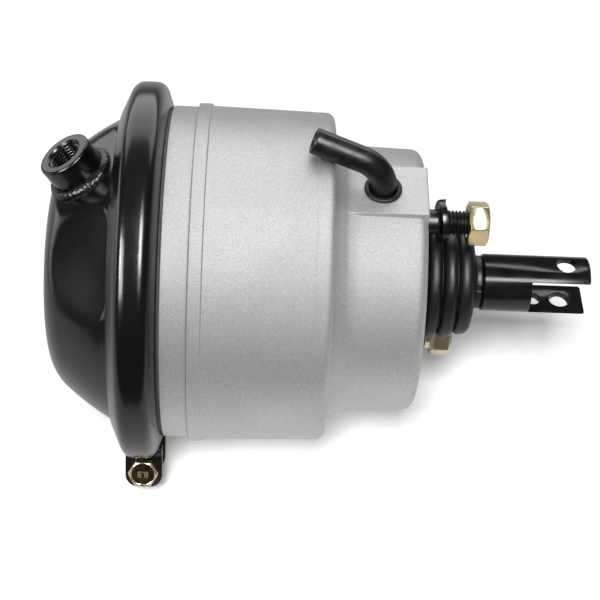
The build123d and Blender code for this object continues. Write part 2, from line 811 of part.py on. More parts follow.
tube_start = Vector(-breather_position, 0, 0) + clock(pad_angle, tube_foot)
tube_turn = Vector(-breather_position, 0, 0) + clock(pad_angle, tube_corner)
tube_tip = Vector(tube_end_x, 0, 0) + clock(tube_end_angle, tube_end_radius)
with BuildPart() as breather_elbow:
    with BuildLine() as route:
        FilletPolyline(tube_start, tube_turn, tube_tip, radius=tube_bend)
    with BuildSketch(Plane(origin=tube_start, z_dir=tube_turn - tube_start)):
        Circle(tube_radius)
        Circle(tube_bore, mode=Mode.SUBTRACT)
    sweep(path=route.line)
breather_elbow.part.label = "breather_elbow"
export_step(breather_elbow.part, "parts/breather_elbow.step")
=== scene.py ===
"""Air brake chamber: the finished surface of every piece, laid over the fixed frame.

Lengths in the classes are millimetres.  The push rod's axis is X and points out of the chamber,
the mounting face lies at X = 0, and a clock angle is counted about X from +Z towards -Y.
"""

from __future__ import annotations

import json
import logging
import math
from dataclasses import dataclass, field
from enum import Enum, auto
from typing import Any, Callable, Iterable, Sequence

import bmesh
import bpy
from mathutils import Matrix, Vector

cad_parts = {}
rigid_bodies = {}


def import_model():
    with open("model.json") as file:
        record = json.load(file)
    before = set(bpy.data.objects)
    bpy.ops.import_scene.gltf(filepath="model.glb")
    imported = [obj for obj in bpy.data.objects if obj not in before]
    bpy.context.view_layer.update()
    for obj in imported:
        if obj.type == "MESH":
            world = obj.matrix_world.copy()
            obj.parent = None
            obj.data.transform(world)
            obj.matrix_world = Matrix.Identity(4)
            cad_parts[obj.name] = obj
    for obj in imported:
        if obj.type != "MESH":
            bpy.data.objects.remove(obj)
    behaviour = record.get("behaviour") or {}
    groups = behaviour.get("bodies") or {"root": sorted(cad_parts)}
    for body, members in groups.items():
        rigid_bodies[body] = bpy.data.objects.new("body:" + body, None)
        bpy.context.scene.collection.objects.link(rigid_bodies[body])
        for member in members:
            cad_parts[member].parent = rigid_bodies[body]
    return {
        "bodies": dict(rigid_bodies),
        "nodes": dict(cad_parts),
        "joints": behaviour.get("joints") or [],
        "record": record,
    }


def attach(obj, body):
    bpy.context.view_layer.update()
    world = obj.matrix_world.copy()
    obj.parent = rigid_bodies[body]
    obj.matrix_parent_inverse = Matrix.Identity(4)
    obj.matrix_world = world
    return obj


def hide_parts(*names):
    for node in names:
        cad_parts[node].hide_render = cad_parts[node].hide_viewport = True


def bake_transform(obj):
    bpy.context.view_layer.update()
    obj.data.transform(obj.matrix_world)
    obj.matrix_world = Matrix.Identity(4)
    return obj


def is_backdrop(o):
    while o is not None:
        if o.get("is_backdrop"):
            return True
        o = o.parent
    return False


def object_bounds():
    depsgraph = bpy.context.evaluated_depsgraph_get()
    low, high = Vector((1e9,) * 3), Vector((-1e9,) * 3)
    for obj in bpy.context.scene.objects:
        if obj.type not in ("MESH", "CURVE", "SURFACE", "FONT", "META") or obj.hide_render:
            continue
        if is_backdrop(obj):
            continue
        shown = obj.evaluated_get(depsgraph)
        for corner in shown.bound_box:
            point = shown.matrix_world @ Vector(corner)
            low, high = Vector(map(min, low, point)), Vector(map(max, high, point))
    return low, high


log = logging.getLogger("brake_chamber")

MM = 0.001
FULL_TURN = 2 * math.pi
FLAT_TO_FACE = Matrix(((0, 0, 1, 0), (1, 0, 0, 0), (0, 1, 0, 0), (0, 0, 0, 1)))  # X, Y, Z become Y, Z, X

Point = tuple[float, float]
Shape = Callable[[float, float, float], tuple[float, float]]
Colour = tuple[float, float, float]


class Body(Enum):
    """The two rigid bodies of the frame."""

    CHAMBER = "chamber"
    ROD = "rod"


# ---------------------------------------------------------------- drawing aids
def clock(angle: float, radius: float) -> Vector:
    """The point at a clock angle in degrees and a radius, in the plane X = 0.

    Args:
        angle: Clock angle in degrees.
        radius: Distance from the axis.

    Returns:
        The point as a vector.
    """
    turn = math.radians(angle)
    return Vector((0, -math.sin(turn) * radius, math.cos(turn) * radius))


def placed(origin: Vector, axis: Vector, side: Vector) -> Matrix:
    """The matrix that carries a piece drawn along X to a place in the chamber.

    Args:
        origin: Where the piece's own origin goes.
        axis: Where the piece's X axis points.
        side: A direction that the piece's Z axis leans to.

    Returns:
        A rigid matrix in millimetres.
    """
    x = axis.normalized()
    y = side.cross(x).normalized()
    z = x.cross(y)
    turn = Matrix((x, y, z)).transposed().to_4x4()
    return Matrix.Translation(origin) @ turn


def smooth_step(low: float, high: float, value: float) -> float:
    """A soft step from 0 at low to 1 at high."""
    t = min(max((value - low) / (high - low), 0.0), 1.0)
    return t * t * (3 - 2 * t)


def soft_min(a: float, b: float, blend: float) -> float:
    """The smaller of two values with a rounded corner of about the width of blend."""
    gap = max(blend - abs(a - b), 0.0) / blend
    return min(a, b) - gap * gap * blend / 4


def soft_max(a: float, b: float, blend: float) -> float:
    """The larger of two values with a rounded corner of about the width of blend."""
    return -soft_min(-a, -b, blend)


@dataclass
class Outline:
    """A flat outline in (x, radius): runs, arcs through a point, and rounded corners."""

    knots: list[tuple[float, float, float]] = field(default_factory=list)

    def to(self, x: float, radius: float, corner: float = 0.0) -> Outline:
        """Adds a corner, rounded by the radius that is given."""
        self.knots.append((x, radius, corner))
        return self

    def arc(self, middle: Point, end: Point, steps: int = 10) -> Outline:
        """Adds an arc from the last corner through one point to another.

        Args:
            middle: A point on the arc.
            end: Where the arc ends.
            steps: How many pieces the arc has.

        Returns:
            The outline itself.
        """
        start = Vector(self.knots[-1][:2])
        mid, stop = Vector(middle), Vector(end)
        a, b = mid - start, stop - start
        cross = 2 * (a.x * b.y - a.y * b.x)
        centre = start + Vector((
            (b.y * a.length_squared - a.y * b.length_squared) / cross,
            (a.x * b.length_squared - b.x * a.length_squared) / cross,
        ))
        turn = [math.atan2(p.y - centre.y, p.x - centre.x) for p in (start, mid, stop)]
        sweep = (turn[2] - turn[0]) % FULL_TURN
        if (turn[1] - turn[0]) % FULL_TURN > sweep:
            sweep -= FULL_TURN
        reach = (start - centre).length
        for step in range(1, steps + 1):
            angle = turn[0] + sweep * step / steps
            self.to(centre.x + reach * math.cos(angle), centre.y + reach * math.sin(angle))
        return self

    def points(self, longest: float = 1e9, closed: bool = True) -> list[Point]:
        """The outline as points, with its corners rounded and its long runs divided.

        Args:
            longest: No run stays longer than this.
            closed: Whether the last corner joins the first.

        Returns:
            Points in order.
        """
        rounded: list[Vector] = []
        count = len(self.knots)
        for index, (x, radius, corner) in enumerate(self.knots):
            here = Vector((x, radius))
            inside = closed or 0 < index < count - 1
            if corner <= 0 or not inside:
                rounded.append(here)
                continue
            back = Vector(self.knots[index - 1][:2]) - here
            ahead = Vector(self.knots[(index + 1) % count][:2]) - here
            rounded.extend(self._round(here, back, ahead, corner))
        result: list[Point] = []
        last = len(rounded) if closed else len(rounded) - 1
        for index in range(last):
            a, b = rounded[index], rounded[(index + 1) % len(rounded)]
            parts = max(1, math.ceil((b - a).length / longest))
            result.extend(tuple(a.lerp(b, k / parts)) for k in range(parts))
        if not closed:
            result.append(tuple(rounded[-1]))
        return result

    @staticmethod
    def _round(here: Vector, back: Vector, ahead: Vector, corner: float) -> list[Vector]:
        """The arc that rounds one corner.

        Args:
            here: The corner.
            back: From the corner to the one before.
            ahead: From the corner to the next.
            corner: Radius of the arc.

        Returns:
            Points along the arc.
        """
        half = back.angle(ahead) / 2
        reach = min(corner / math.tan(half), back.length * 0.49, ahead.length * 0.49)
        radius = reach * math.tan(half)
        start = here + back.normalized() * reach
        stop = here + ahead.normalized() * reach
        middle = (back.normalized() + ahead.normalized()).normalized()
        centre = here + middle * (radius / math.sin(half))
        sweep = math.pi - 2 * half
        steps = max(2, math.ceil(math.degrees(sweep) / 15))
        a, b = start - centre, stop - centre
        return [
            centre + (a * math.sin((1 - k / steps) * sweep) + b * math.sin(k / steps * sweep))
            / math.sin(sweep)
            for k in range(steps + 1)
        ]


def spun(
    outline: Sequence[Point],
    segments: int = 180,
    closed: bool = True,
    shape: Shape | None = None,
    turns: Sequence[float] | None = None,
    open_turn: bool = False,
) -> bmesh.types.BMesh:
    """Turns an outline about the X axis.

    Args:
        outline: Points (x, radius).
        segments: How many steps a full turn has.
        closed: Whether the outline closes on itself.
        shape: Changes (x, radius) at a clock angle in radians.
        turns: Clock angles in radians, in place of even steps.
        open_turn: Leaves the last step open and caps both ends.

    Returns:
        A mesh in millimetres.
    """
    angles = list(turns) if turns else [FULL_TURN * k / segments for k in range(segments)]
    mesh = bmesh.new()
    rings = []
    for angle in angles:
        ring = []
        for x, radius in outline:
            if shape:
                x, radius = shape(x, radius, angle)
            ring.append(mesh.verts.new((x, -math.sin(angle) * radius, math.cos(angle) * radius)))
        rings.append(ring)
    count = len(outline)
    last_ring = len(rings) - 1 if open_turn else len(rings)
    last_point = count if closed else count - 1
    for i in range(last_ring):
        a, b = rings[i], rings[(i + 1) % len(rings)]
        for j in range(last_point):
            k = (j + 1) % count
            mesh.faces.new((a[j], a[k], b[k], b[j]))
    if open_turn:
        mesh.faces.new(rings[0])
        mesh.faces.new(reversed(rings[-1]))
    bmesh.ops.remove_doubles(mesh, verts=mesh.verts, dist=1e-5)
    bmesh.ops.recalc_face_normals(mesh, faces=mesh.faces)
    return mesh


def softened(mesh: bmesh.types.BMesh, width: float, steps: int = 2, angle: float = 40.0) -> bmesh.types.BMesh:
    """Rounds every sharp edge of a closed mesh.

    Args:
        mesh: The mesh.
        width: Width of the rounding.
        steps: How many strips the rounding has.
        angle: Edges that turn by more degrees than this are rounded.

    Returns:
        The same mesh.
    """
    limit = math.radians(angle)
    rims = [e for e in mesh.edges if e.is_manifold and e.calc_face_angle(0.0) > limit]
    bmesh.ops.bevel(
        mesh, geom=rims, offset=width, segments=steps, profile=0.5, affect="EDGES", clamp_overlap=True
    )
    return mesh


def bridged(mesh: bmesh.types.BMesh) -> bmesh.types.BMesh:
    """The mesh with its two open rims joined and its faces turned outwards."""
    bmesh.ops.bridge_loops(mesh, edges=[e for e in mesh.edges if e.is_boundary])
    bmesh.ops.recalc_face_normals(mesh, faces=mesh.faces)
    return mesh


def cut_away(mesh: bmesh.types.BMesh, *tools: bmesh.types.BMesh) -> bmesh.types.BMesh:
    """The mesh without the room that the tools take up; all of them are used up.

    Args:
        mesh: The body.
        tools: Closed meshes to take away.

    Returns:
        A new mesh.
    """
    things = []
    for part in (mesh, *tools):
        block = bpy.data.meshes.new("block")
        part.to_mesh(block)
        part.free()
        thing = bpy.data.objects.new("block", block)
        bpy.context.scene.collection.objects.link(thing)
        things.append(thing)
    for tool in things[1:]:
        modifier = things[0].modifiers.new("cut", "BOOLEAN")
        modifier.operation = "DIFFERENCE"
        modifier.solver = "EXACT"
        modifier.object = tool
    bpy.context.view_layer.update()
    result = bpy.data.meshes.new_from_object(things[0].evaluated_get(bpy.context.evaluated_depsgraph_get()))
    whole = bmesh.new()
    whole.from_mesh(result)
    bpy.data.meshes.remove(result)
    for thing in things:
        block = thing.data
        bpy.data.objects.remove(thing)
        bpy.data.meshes.remove(block)
    bmesh.ops.remove_doubles(whole, verts=whole.verts, dist=1e-4)
    return whole


def joined(*parts: bmesh.types.BMesh) -> bmesh.types.BMesh:
    """All parts in one mesh; the parts are used up."""
    whole = bmesh.new()
    for part in parts:
        block = bpy.data.meshes.new("block")
        part.to_mesh(block)
        part.free()
        whole.from_mesh(block)
        bpy.data.meshes.remove(block)
    return whole


def moved(mesh: bmesh.types.BMesh, place: Matrix) -> bmesh.types.BMesh:
    """The mesh carried to a place, in millimetres."""
    bmesh.ops.transform(mesh, matrix=place, verts=mesh.verts)
    return mesh


# ---------------------------------------------------------------- node trees
class Graph:
    """A node tree while it is drawn: adds nodes, fills their sockets and links them."""

    def __init__(self, tree: bpy.types.NodeTree) -> None:
        """Starts on a tree."""
        self.tree = tree

    def add(self, kind: str, inputs: dict | None = None, **settings: Any) -> bpy.types.Node:
        """Adds a node.

        Args:
            kind: Blender's name for the node.
            inputs: Socket name or number to a value or to another node's socket.
            settings: The node's own settings.

        Returns:
            The node.
        """
        node = self.tree.nodes.new(kind)
        for key, value in settings.items():
            setattr(node, key, value)
        for key, value in (inputs or {}).items():
            if isinstance(value, bpy.types.NodeSocket):
                self.tree.links.new(value, node.inputs[key])
            else:
                node.inputs[key].default_value = value
        return node

    def math(self, operation: str, *values: Any) -> bpy.types.NodeSocket:
        """A math node's result."""
        return self.add("ShaderNodeMath", dict(enumerate(values)), operation=operation).outputs[0]

    def vector(self, *values: Any) -> bpy.types.NodeSocket:
        """A vector made of three values."""
        return self.add("ShaderNodeCombineXYZ", dict(enumerate(values))).outputs[0]

    def noise(self, scale: Any, detail: float = 2.0, place: Any = None) -> bpy.types.NodeSocket:
        """The value of a noise texture."""
        inputs = {"Scale": scale, "Detail": detail}
        if place is not None:
            inputs["Vector"] = place
        return self.add("ShaderNodeTexNoise", inputs).outputs[0]

    def spread(self, value: Any, low: Any, high: Any, to_low: Any, to_high: Any) -> bpy.types.NodeSocket:
        """A value carried from one range to another and kept inside it."""
        inputs = {"Value": value, 1: low, 2: high, 3: to_low, 4: to_high}
        return self.add("ShaderNodeMapRange", inputs).outputs[0]

    def mixed(self, amount: Any, first: Any, second: Any) -> bpy.types.NodeSocket:
        """One colour mixed into another."""
        node = self.add("ShaderNodeMix", {0: amount, 6: first, 7: second}, data_type="RGBA")
        return node.outputs[2]


def opened(name: str, kind: str, sockets: Iterable[tuple[str, str, Any]]) -> tuple[Graph, Any]:
    """A new node group with its named inputs.

    Args:
        name: The group's name.
        kind: GeometryNodeTree or ShaderNodeTree.
        sockets: Name, kind and first value of each input.

    Returns:
        The graph and the outputs of its input node.
    """
    tree = bpy.data.node_groups.new(name, kind)
    for label, form, value in sockets:
        socket = tree.interface.new_socket(name=label, in_out="INPUT", socket_type=form)
        if value is not None:
            socket.default_value = value
    graph = Graph(tree)
    return graph, graph.add("NodeGroupInput").outputs


def closed_with(graph: Graph, results: dict[str, tuple[str, Any]]) -> bpy.types.NodeTree:
    """Gives a group its outputs.

    Args:
        graph: The group's graph.
        results: Output name to the kind of socket and the socket that feeds it.

    Returns:
        The group's tree.
    """
    for label, (form, _) in results.items():
        graph.tree.interface.new_socket(name=label, in_out="OUTPUT", socket_type=form)
    end = graph.add("NodeGroupOutput")
    for label, (_, source) in results.items():
        graph.tree.links.new(source, end.inputs[label])
    return graph.tree


NUMBER = "NodeSocketFloat"
WHOLE = "NodeSocketInt"
COLOUR = "NodeSocketColor"
GEOMETRY = "NodeSocketGeometry"
MATERIAL = "NodeSocketMaterial"


def finished_shape(graph: Graph, geometry: Any, material: Any) -> bpy.types.NodeTree:
    """Ends a shape tree: copies made real, smooth shading, and the material set.

    Args:
        graph: The tree's graph.
        geometry: The socket with the shape.
        material: The socket with the material.

    Returns:
        The finished tree.
    """
    real = graph.add("GeometryNodeRealizeInstances", {0: geometry}).outputs[0]
    smooth = graph.add("GeometryNodeSetShadeSmooth", {0: real}).outputs[0]
    dressed = graph.add("GeometryNodeSetMaterial", {0: smooth, "Material": material}).outputs[0]
    return closed_with(graph, {"Geometry": (GEOMETRY, dressed)})


def thread_tree() -> bpy.types.NodeTree:
    """A thread cut round the X axis, from X = 0, with a broken edge at its far end."""
    g, given = opened("cut_thread", "GeometryNodeTree", (
        ("Length", NUMBER, 0.02), ("Radius", NUMBER, 0.006), ("Pitch", NUMBER, 0.00175),
        ("Depth", NUMBER, 0.0009), ("Point", NUMBER, 0.001), ("Rings", WHOLE, 100),
        ("Segments", WHOLE, 72), ("Material", MATERIAL, None),
    ))
    grid = g.add("GeometryNodeMeshGrid", {
        "Size X": given["Length"], "Size Y": FULL_TURN,
        "Vertices X": given["Rings"], "Vertices Y": given["Segments"],
    }).outputs[0]
    place = g.add("ShaderNodeSeparateXYZ", {0: g.add("GeometryNodeInputPosition").outputs[0]}).outputs
    along = g.math("ADD", place[0], g.math("MULTIPLY", given["Length"], 0.5))
    turn = place[1]
    phase = g.math("SUBTRACT", g.math("DIVIDE", along, given["Pitch"]), g.math("DIVIDE", turn, FULL_TURN))
    saw = g.math("ABSOLUTE", g.math("SUBTRACT", g.math("MULTIPLY", g.math("FRACT", phase), 2.0), 1.0))
    flank = g.spread(saw, 0.12, 0.9, 0.0, 1.0)
    left = g.math("SUBTRACT", given["Length"], along)
    run_out = g.math("SUBTRACT", 1.0, g.spread(along, 0.0, given["Pitch"], 1.0, 0.0))
    groove = g.math("MULTIPLY", g.math("MULTIPLY", flank, given["Depth"]), run_out)
    cut = g.math("SUBTRACT", given["Radius"], groove)
    point = g.math("SUBTRACT", given["Radius"], g.math(
        "MAXIMUM", g.math("SUBTRACT", given["Point"], left), 0.0))
    radius = g.math("MINIMUM", cut, point)
    spot = g.vector(
        along,
        g.math("MULTIPLY", g.math("SINE", turn), g.math("MULTIPLY", radius, -1.0)),
        g.math("MULTIPLY", g.math("COSINE", turn), radius),
    )
    round_off = g.add("GeometryNodeSetPosition", {"Geometry": grid, "Position": spot}).outputs[0]
    welded = g.add("GeometryNodeMergeByDistance", {"Geometry": round_off, "Distance": 1e-6}).outputs[0]
    return finished_shape(g, welded, given["Material"])


def coil_tree() -> bpy.types.NodeTree:
    """A conical coil of round wire along Z, from Z = 0."""
    g, given = opened("wound_coil", "GeometryNodeTree", (
        ("Height", NUMBER, 0.14), ("Turns", NUMBER, 5.5), ("First radius", NUMBER, 0.036),
        ("Last radius", NUMBER, 0.026), ("Wire", NUMBER, 0.0025), ("Material", MATERIAL, None),
    ))
    spiral = g.add("GeometryNodeCurveSpiral", {
        "Resolution": 72, "Rotations": given["Turns"], "Start Radius": given["First radius"],
        "End Radius": given["Last radius"], "Height": given["Height"],
    }).outputs[0]
    wire = g.add("GeometryNodeCurvePrimitiveCircle", {"Resolution": 20, "Radius": given["Wire"]}).outputs[0]
    round_wire = g.add("GeometryNodeCurveToMesh", {0: spiral, 1: wire, "Fill Caps": True}).outputs[0]
    return finished_shape(g, round_wire, given["Material"])


def bead_tree() -> bpy.types.NodeTree:
    """A hand-laid weld bead round the X axis, against a pipe that stands on a plate at X = 0."""
    g, given = opened("weld_bead", "GeometryNodeTree", (
        ("Radius", NUMBER, 0.0128), ("Leg", NUMBER, 0.003), ("Ripples", NUMBER, 15.0),
        ("Ripple depth", NUMBER, 0.00034), ("Drift", NUMBER, 0.0007), ("Material", MATERIAL, None),
    ))
    grid = g.add("GeometryNodeMeshGrid", {
        "Size X": math.pi, "Size Y": FULL_TURN, "Vertices X": 25, "Vertices Y": 361,
    }).outputs[0]
    place = g.add("ShaderNodeSeparateXYZ", {0: g.add("GeometryNodeInputPosition").outputs[0]}).outputs
    fan = g.math("ADD", place[0], math.pi / 2)
    turn = place[1]
    ring = g.vector(g.math("MULTIPLY", g.math("COSINE", turn), 1.0), g.math("SINE", turn), 0.0)
    slow = g.math("SUBTRACT", g.noise(1.4, 1.0, ring), 0.5)
    quick = g.math("SUBTRACT", g.noise(6.0, 2.0, ring), 0.5)
    step = g.math("ADD", g.math("MULTIPLY", turn, g.math("DIVIDE", given["Ripples"], FULL_TURN)),
                  g.math("ADD", g.math("MULTIPLY", quick, 2.4),
                         g.math("MULTIPLY", g.math("COSINE", fan), 0.35)))
    saw = g.math("SUBTRACT", 1.0, g.math("ABSOLUTE", g.math("SUBTRACT", g.math(
        "MULTIPLY", g.math("FRACT", step), 2.0), 1.0)))
    ripple = g.math("MULTIPLY", g.math("POWER", saw, 0.6), given["Ripple depth"])
    swell = g.math("ADD", given["Leg"], g.math("ADD", ripple, g.math("MULTIPLY", slow, g.math(
        "MULTIPLY", given["Drift"], 2.0))))
    reach = g.math("MULTIPLY", swell, 0.5)
    out = g.math("ADD", given["Radius"], g.math("SUBTRACT", reach, g.math(
        "MULTIPLY", g.math("COSINE", fan), g.math("MULTIPLY", swell, 0.55))))
    belly = g.math("MULTIPLY", g.math("SINE", fan), g.math("MULTIPLY", swell, 0.62))
    rise = g.math("ADD", g.math("MULTIPLY", belly, 0.72), g.math("MULTIPLY", g.math("SUBTRACT", 1.0, g.math(
        "DIVIDE", g.math("SUBTRACT", out, given["Radius"]), given["Leg"])), g.math("MULTIPLY", swell, 0.55)))
    high = g.math("MAXIMUM", rise, g.math("MULTIPLY", given["Leg"], -0.3))
    far = g.math("ADD", out, g.math("MULTIPLY", belly, 0.25))
    spot = g.vector(high, g.math("MULTIPLY", g.math("SINE", turn), g.math("MULTIPLY", far, -1.0)),
                    g.math("MULTIPLY", g.math("COSINE", turn), far))
    bead = g.add("GeometryNodeSetPosition", {"Geometry": grid, "Position": spot}).outputs[0]
    welded = g.add("GeometryNodeMergeByDistance", {"Geometry": bead, "Distance": 1e-6}).outputs[0]
    return finished_shape(g, welded, given["Material"])


def grown(tree: bpy.types.NodeTree, **values: Any) -> bmesh.types.BMesh:
    """Runs a shape tree once and returns its mesh.

    Args:
        tree: The shape tree.
        values: The tree's inputs, with spaces written as underscores.

    Returns:
        The mesh in millimetres.
    """
    seed = bpy.data.objects.new("seed", bpy.data.meshes.new("seed"))
    bpy.context.scene.collection.objects.link(seed)
    modifier = seed.modifiers.new("shape", "NODES")
    modifier.node_group = tree
    for item in tree.interface.items_tree:
        key = item.name.replace(" ", "_").lower()
        if item.in_out == "INPUT" and key in values:
            modifier[item.identifier] = values[key]
    bpy.context.view_layer.update()
    result = bpy.data.meshes.new_from_object(seed.evaluated_get(bpy.context.evaluated_depsgraph_get()))
    mesh = bmesh.new()
    mesh.from_mesh(result)
    bmesh.ops.scale(mesh, vec=(1 / MM, 1 / MM, 1 / MM), verts=mesh.verts)
    bpy.data.meshes.remove(result)
    bpy.data.objects.remove(seed)
    return mesh


def capped(mesh: bmesh.types.BMesh) -> bmesh.types.BMesh:
    """The mesh with its open rims filled and its faces turned outwards."""
    bmesh.ops.holes_fill(mesh, edges=[e for e in mesh.edges if e.is_boundary], sides=0)
    bmesh.ops.recalc_face_normals(mesh, faces=mesh.faces)
    return mesh


# ---------------------------------------------------------------- shared effects
@dataclass
class Effects:
    """The shader groups that several finishes share."""

    grain: bpy.types.NodeTree = field(init=False)
    drift: bpy.types.NodeTree = field(init=False)
    marks: bpy.types.NodeTree = field(init=False)
    flecks: bpy.types.NodeTree = field(init=False)

    def __post_init__(self) -> None:
        """Builds each group once."""
        self.grain = self._grain()
        self.drift = self._drift()
        self.marks = self._marks()
        self.flecks = self._flecks()

    @staticmethod
    def _place(g: Graph) -> bpy.types.NodeSocket:
        """The piece's own coordinates."""
        return g.add("ShaderNodeTexCoord").outputs["Object"]

    def _grain(self) -> bpy.types.NodeTree:
        """Height of a fine grain over a slower roll."""
        g, given = opened("fine_grain", "ShaderNodeTree", (
            ("Scale", NUMBER, 2000.0), ("Roll scale", NUMBER, 200.0), ("Roll share", NUMBER, 0.3),
        ))
        place = self._place(g)
        fine = g.noise(given["Scale"], 3.0, place)
        slow = g.noise(given["Roll scale"], 2.0, place)
        share = given["Roll share"]
        height = g.math("ADD", g.math("MULTIPLY", fine, g.math("SUBTRACT", 1.0, share)),
                        g.math("MULTIPLY", slow, share))
        return closed_with(g, {"Height": (NUMBER, height), "Fine": (NUMBER, fine)})

    def _drift(self) -> bpy.types.NodeTree:
        """A colour that drifts slowly towards another."""
        g, given = opened("colour_drift", "ShaderNodeTree", (
            ("Colour", COLOUR, None), ("Other", COLOUR, None), ("Scale", NUMBER, 30.0),
            ("Low", NUMBER, 0.4), ("High", NUMBER, 0.6),
        ))
        cloud = g.noise(given["Scale"], 3.0, self._place(g))
        amount = g.spread(cloud, given["Low"], given["High"], 0.0, 1.0)
        mixed = g.mixed(amount, given["Colour"], given["Other"])
        return closed_with(g, {"Colour": (COLOUR, mixed), "Amount": (NUMBER, amount)})

    def _marks(self) -> bpy.types.NodeTree:
        """Roughness with faint handling marks."""
        g, given = opened("handling_marks", "ShaderNodeTree", (
            ("Scale", NUMBER, 40.0), ("Smooth", NUMBER, 0.2), ("Rough", NUMBER, 0.35),
        ))
        cloud = g.noise(given["Scale"], 4.0, self._place(g))
        rough = g.spread(cloud, 0.35, 0.65, given["Smooth"], given["Rough"])
        return closed_with(g, {"Roughness": (NUMBER, rough)})

    def _flecks(self) -> bpy.types.NodeTree:
        """Small scattered flecks as a mask."""
        g, given = opened("flecks", "ShaderNodeTree", (
            ("Scale", NUMBER, 900.0), ("Share", NUMBER, 0.2),
        ))
        place = self._place(g)
        cells = g.add("ShaderNodeTexVoronoi", {"Vector": place, "Scale": given["Scale"]}).outputs
        picked = g.add("ShaderNodeSeparateColor", {0: cells["Color"]}).outputs[0]
        chosen = g.math("LESS_THAN", picked, given["Share"])
        dot = g.spread(cells["Distance"], 0.15, 0.45, 1.0, 0.0)
        return closed_with(g, {"Mask": (NUMBER, g.math("MULTIPLY", chosen, dot))})


@dataclass(frozen=True)
class Finish:
    """What a finish looks like: its colours, its gloss and the relief of its surface."""

    name: str
    colour: Colour
    other: Colour
    metallic: float
    smooth: float
    rough: float
    drift_scale: float = 40.0
    drift_low: float = 0.42
    drift_high: float = 0.62
    mark_scale: float = 60.0
    grain_scale: float = 1500.0
    roll_scale: float = 220.0
    roll_share: float = 0.3
    relief: float = 0.05
    relief_depth: float = 0.0002
    fleck_scale: float = 900.0
    fleck_share: float = 0.0
    fleck_colour: Colour = (1.0, 1.0, 1.0)
    fleck_strength: float = 0.5
    tint: tuple[Colour, ...] = ()
    tint_scale: float = 120.0
    tint_strength: float = 0.5
    reflection: float = 0.5

    def made(self, effects: Effects) -> bpy.types.Material:
        """Builds the material.

        Args:
            effects: The shared shader groups.

        Returns:
            The material.
        """
        material = bpy.data.materials.new(self.name)
        material.use_nodes = True
        g = Graph(material.node_tree)
        g.tree.nodes.clear()
        colour = self._colour(g, effects)
        marks = g.add("ShaderNodeGroup", node_tree=effects.marks)
        marks.inputs["Scale"].default_value = self.mark_scale
        marks.inputs["Smooth"].default_value = self.smooth
        marks.inputs["Rough"].default_value = self.rough
        grain = g.add("ShaderNodeGroup", node_tree=effects.grain)
        grain.inputs["Scale"].default_value = self.grain_scale
        grain.inputs["Roll scale"].default_value = self.roll_scale
        grain.inputs["Roll share"].default_value = self.roll_share
        bump = g.add("ShaderNodeBump", {
            "Strength": self.relief, "Distance": self.relief_depth, "Height": grain.outputs["Height"],
        }).outputs[0]
        surface = g.add("ShaderNodeBsdfPrincipled", {
            "Base Color": colour, "Metallic": self.metallic, "Roughness": marks.outputs[0],
            "Normal": bump,
            "Specular IOR Level": self.reflection,
        })
        g.add("ShaderNodeOutputMaterial", {0: surface.outputs[0]})
        return material

    def _colour(self, g: Graph, effects: Effects) -> bpy.types.NodeSocket:
        """The surface colour, with its drift, tints and flecks.

        Args:
            g: The material's graph.
            effects: The shared shader groups.

        Returns:
            The colour's socket.
        """
        drift = g.add("ShaderNodeGroup", node_tree=effects.drift)
        drift.inputs["Colour"].default_value = (*self.colour, 1)
        drift.inputs["Other"].default_value = (*self.other, 1)
        drift.inputs["Scale"].default_value = self.drift_scale
        drift.inputs["Low"].default_value = self.drift_low
        drift.inputs["High"].default_value = self.drift_high
        colour = drift.outputs[0]
        if self.tint:
            place = g.add("ShaderNodeTexCoord").outputs["Object"]
            cloud = g.noise(self.tint_scale, 2.0, place)
            ramp = g.add("ShaderNodeValToRGB", {0: g.spread(cloud, 0.3, 0.7, 0.0, 1.0)})
            bands = ramp.color_ramp.elements
            while len(bands) < len(self.tint):
                bands.new(0.5)
            for index, shade in enumerate(self.tint):
                bands[index].position = index / (len(self.tint) - 1)
                bands[index].color = (*shade, 1)
            colour = g.mixed(self.tint_strength, colour, ramp.outputs[0])
        if self.fleck_share:
            flecks = g.add("ShaderNodeGroup", node_tree=effects.flecks)
            flecks.inputs["Scale"].default_value = self.fleck_scale
            flecks.inputs["Share"].default_value = self.fleck_share
            amount = g.math("MULTIPLY", flecks.outputs[0], self.fleck_strength)
            colour = g.mixed(amount, colour, (*self.fleck_colour, 1))
        return colour


CAST = Finish(
    "cast_aluminium", (0.795, 0.79, 0.78), (0.65, 0.645, 0.64), 0.85, 0.5, 0.58,
    drift_scale=1400.0, drift_low=0.34, drift_high=0.66, mark_scale=30.0,
    grain_scale=1700.0, roll_scale=420.0, roll_share=0.3,
    relief=0.9, relief_depth=0.00018, fleck_scale=1300.0, fleck_share=0.3,
    fleck_colour=(0.34, 0.34, 0.34), fleck_strength=0.25,
)
ENAMEL = Finish(
    "black_enamel", (0.0045, 0.0045, 0.005), (0.007, 0.007, 0.008), 0.0, 0.17, 0.23,
    mark_scale=25.0, grain_scale=1300.0, roll_scale=420.0, roll_share=0.5,
    relief=0.16, relief_depth=0.0003,
    fleck_scale=1500.0, fleck_share=0.10, fleck_colour=(0.03, 0.03, 0.033), fleck_strength=0.6,
)
WELD_ENAMEL = Finish(
    "enamelled_weld", (0.0045, 0.0045, 0.005), (0.008, 0.008, 0.009), 0.0, 0.24, 0.36,
    mark_scale=300.0, grain_scale=1600.0, roll_scale=500.0, roll_share=0.5,
    relief=0.15, relief_depth=0.0003,
)
RUBBER = Finish(
    "black_rubber", (0.008, 0.008, 0.0085), (0.014, 0.014, 0.015), 0.0, 0.36, 0.48,
    drift_scale=90.0, mark_scale=120.0, grain_scale=2200.0, roll_scale=500.0, roll_share=0.3,
    relief=0.25, relief_depth=0.0001, fleck_scale=2500.0, fleck_share=0.3,
    fleck_colour=(0.05, 0.05, 0.052), fleck_strength=0.5, reflection=0.4,
)
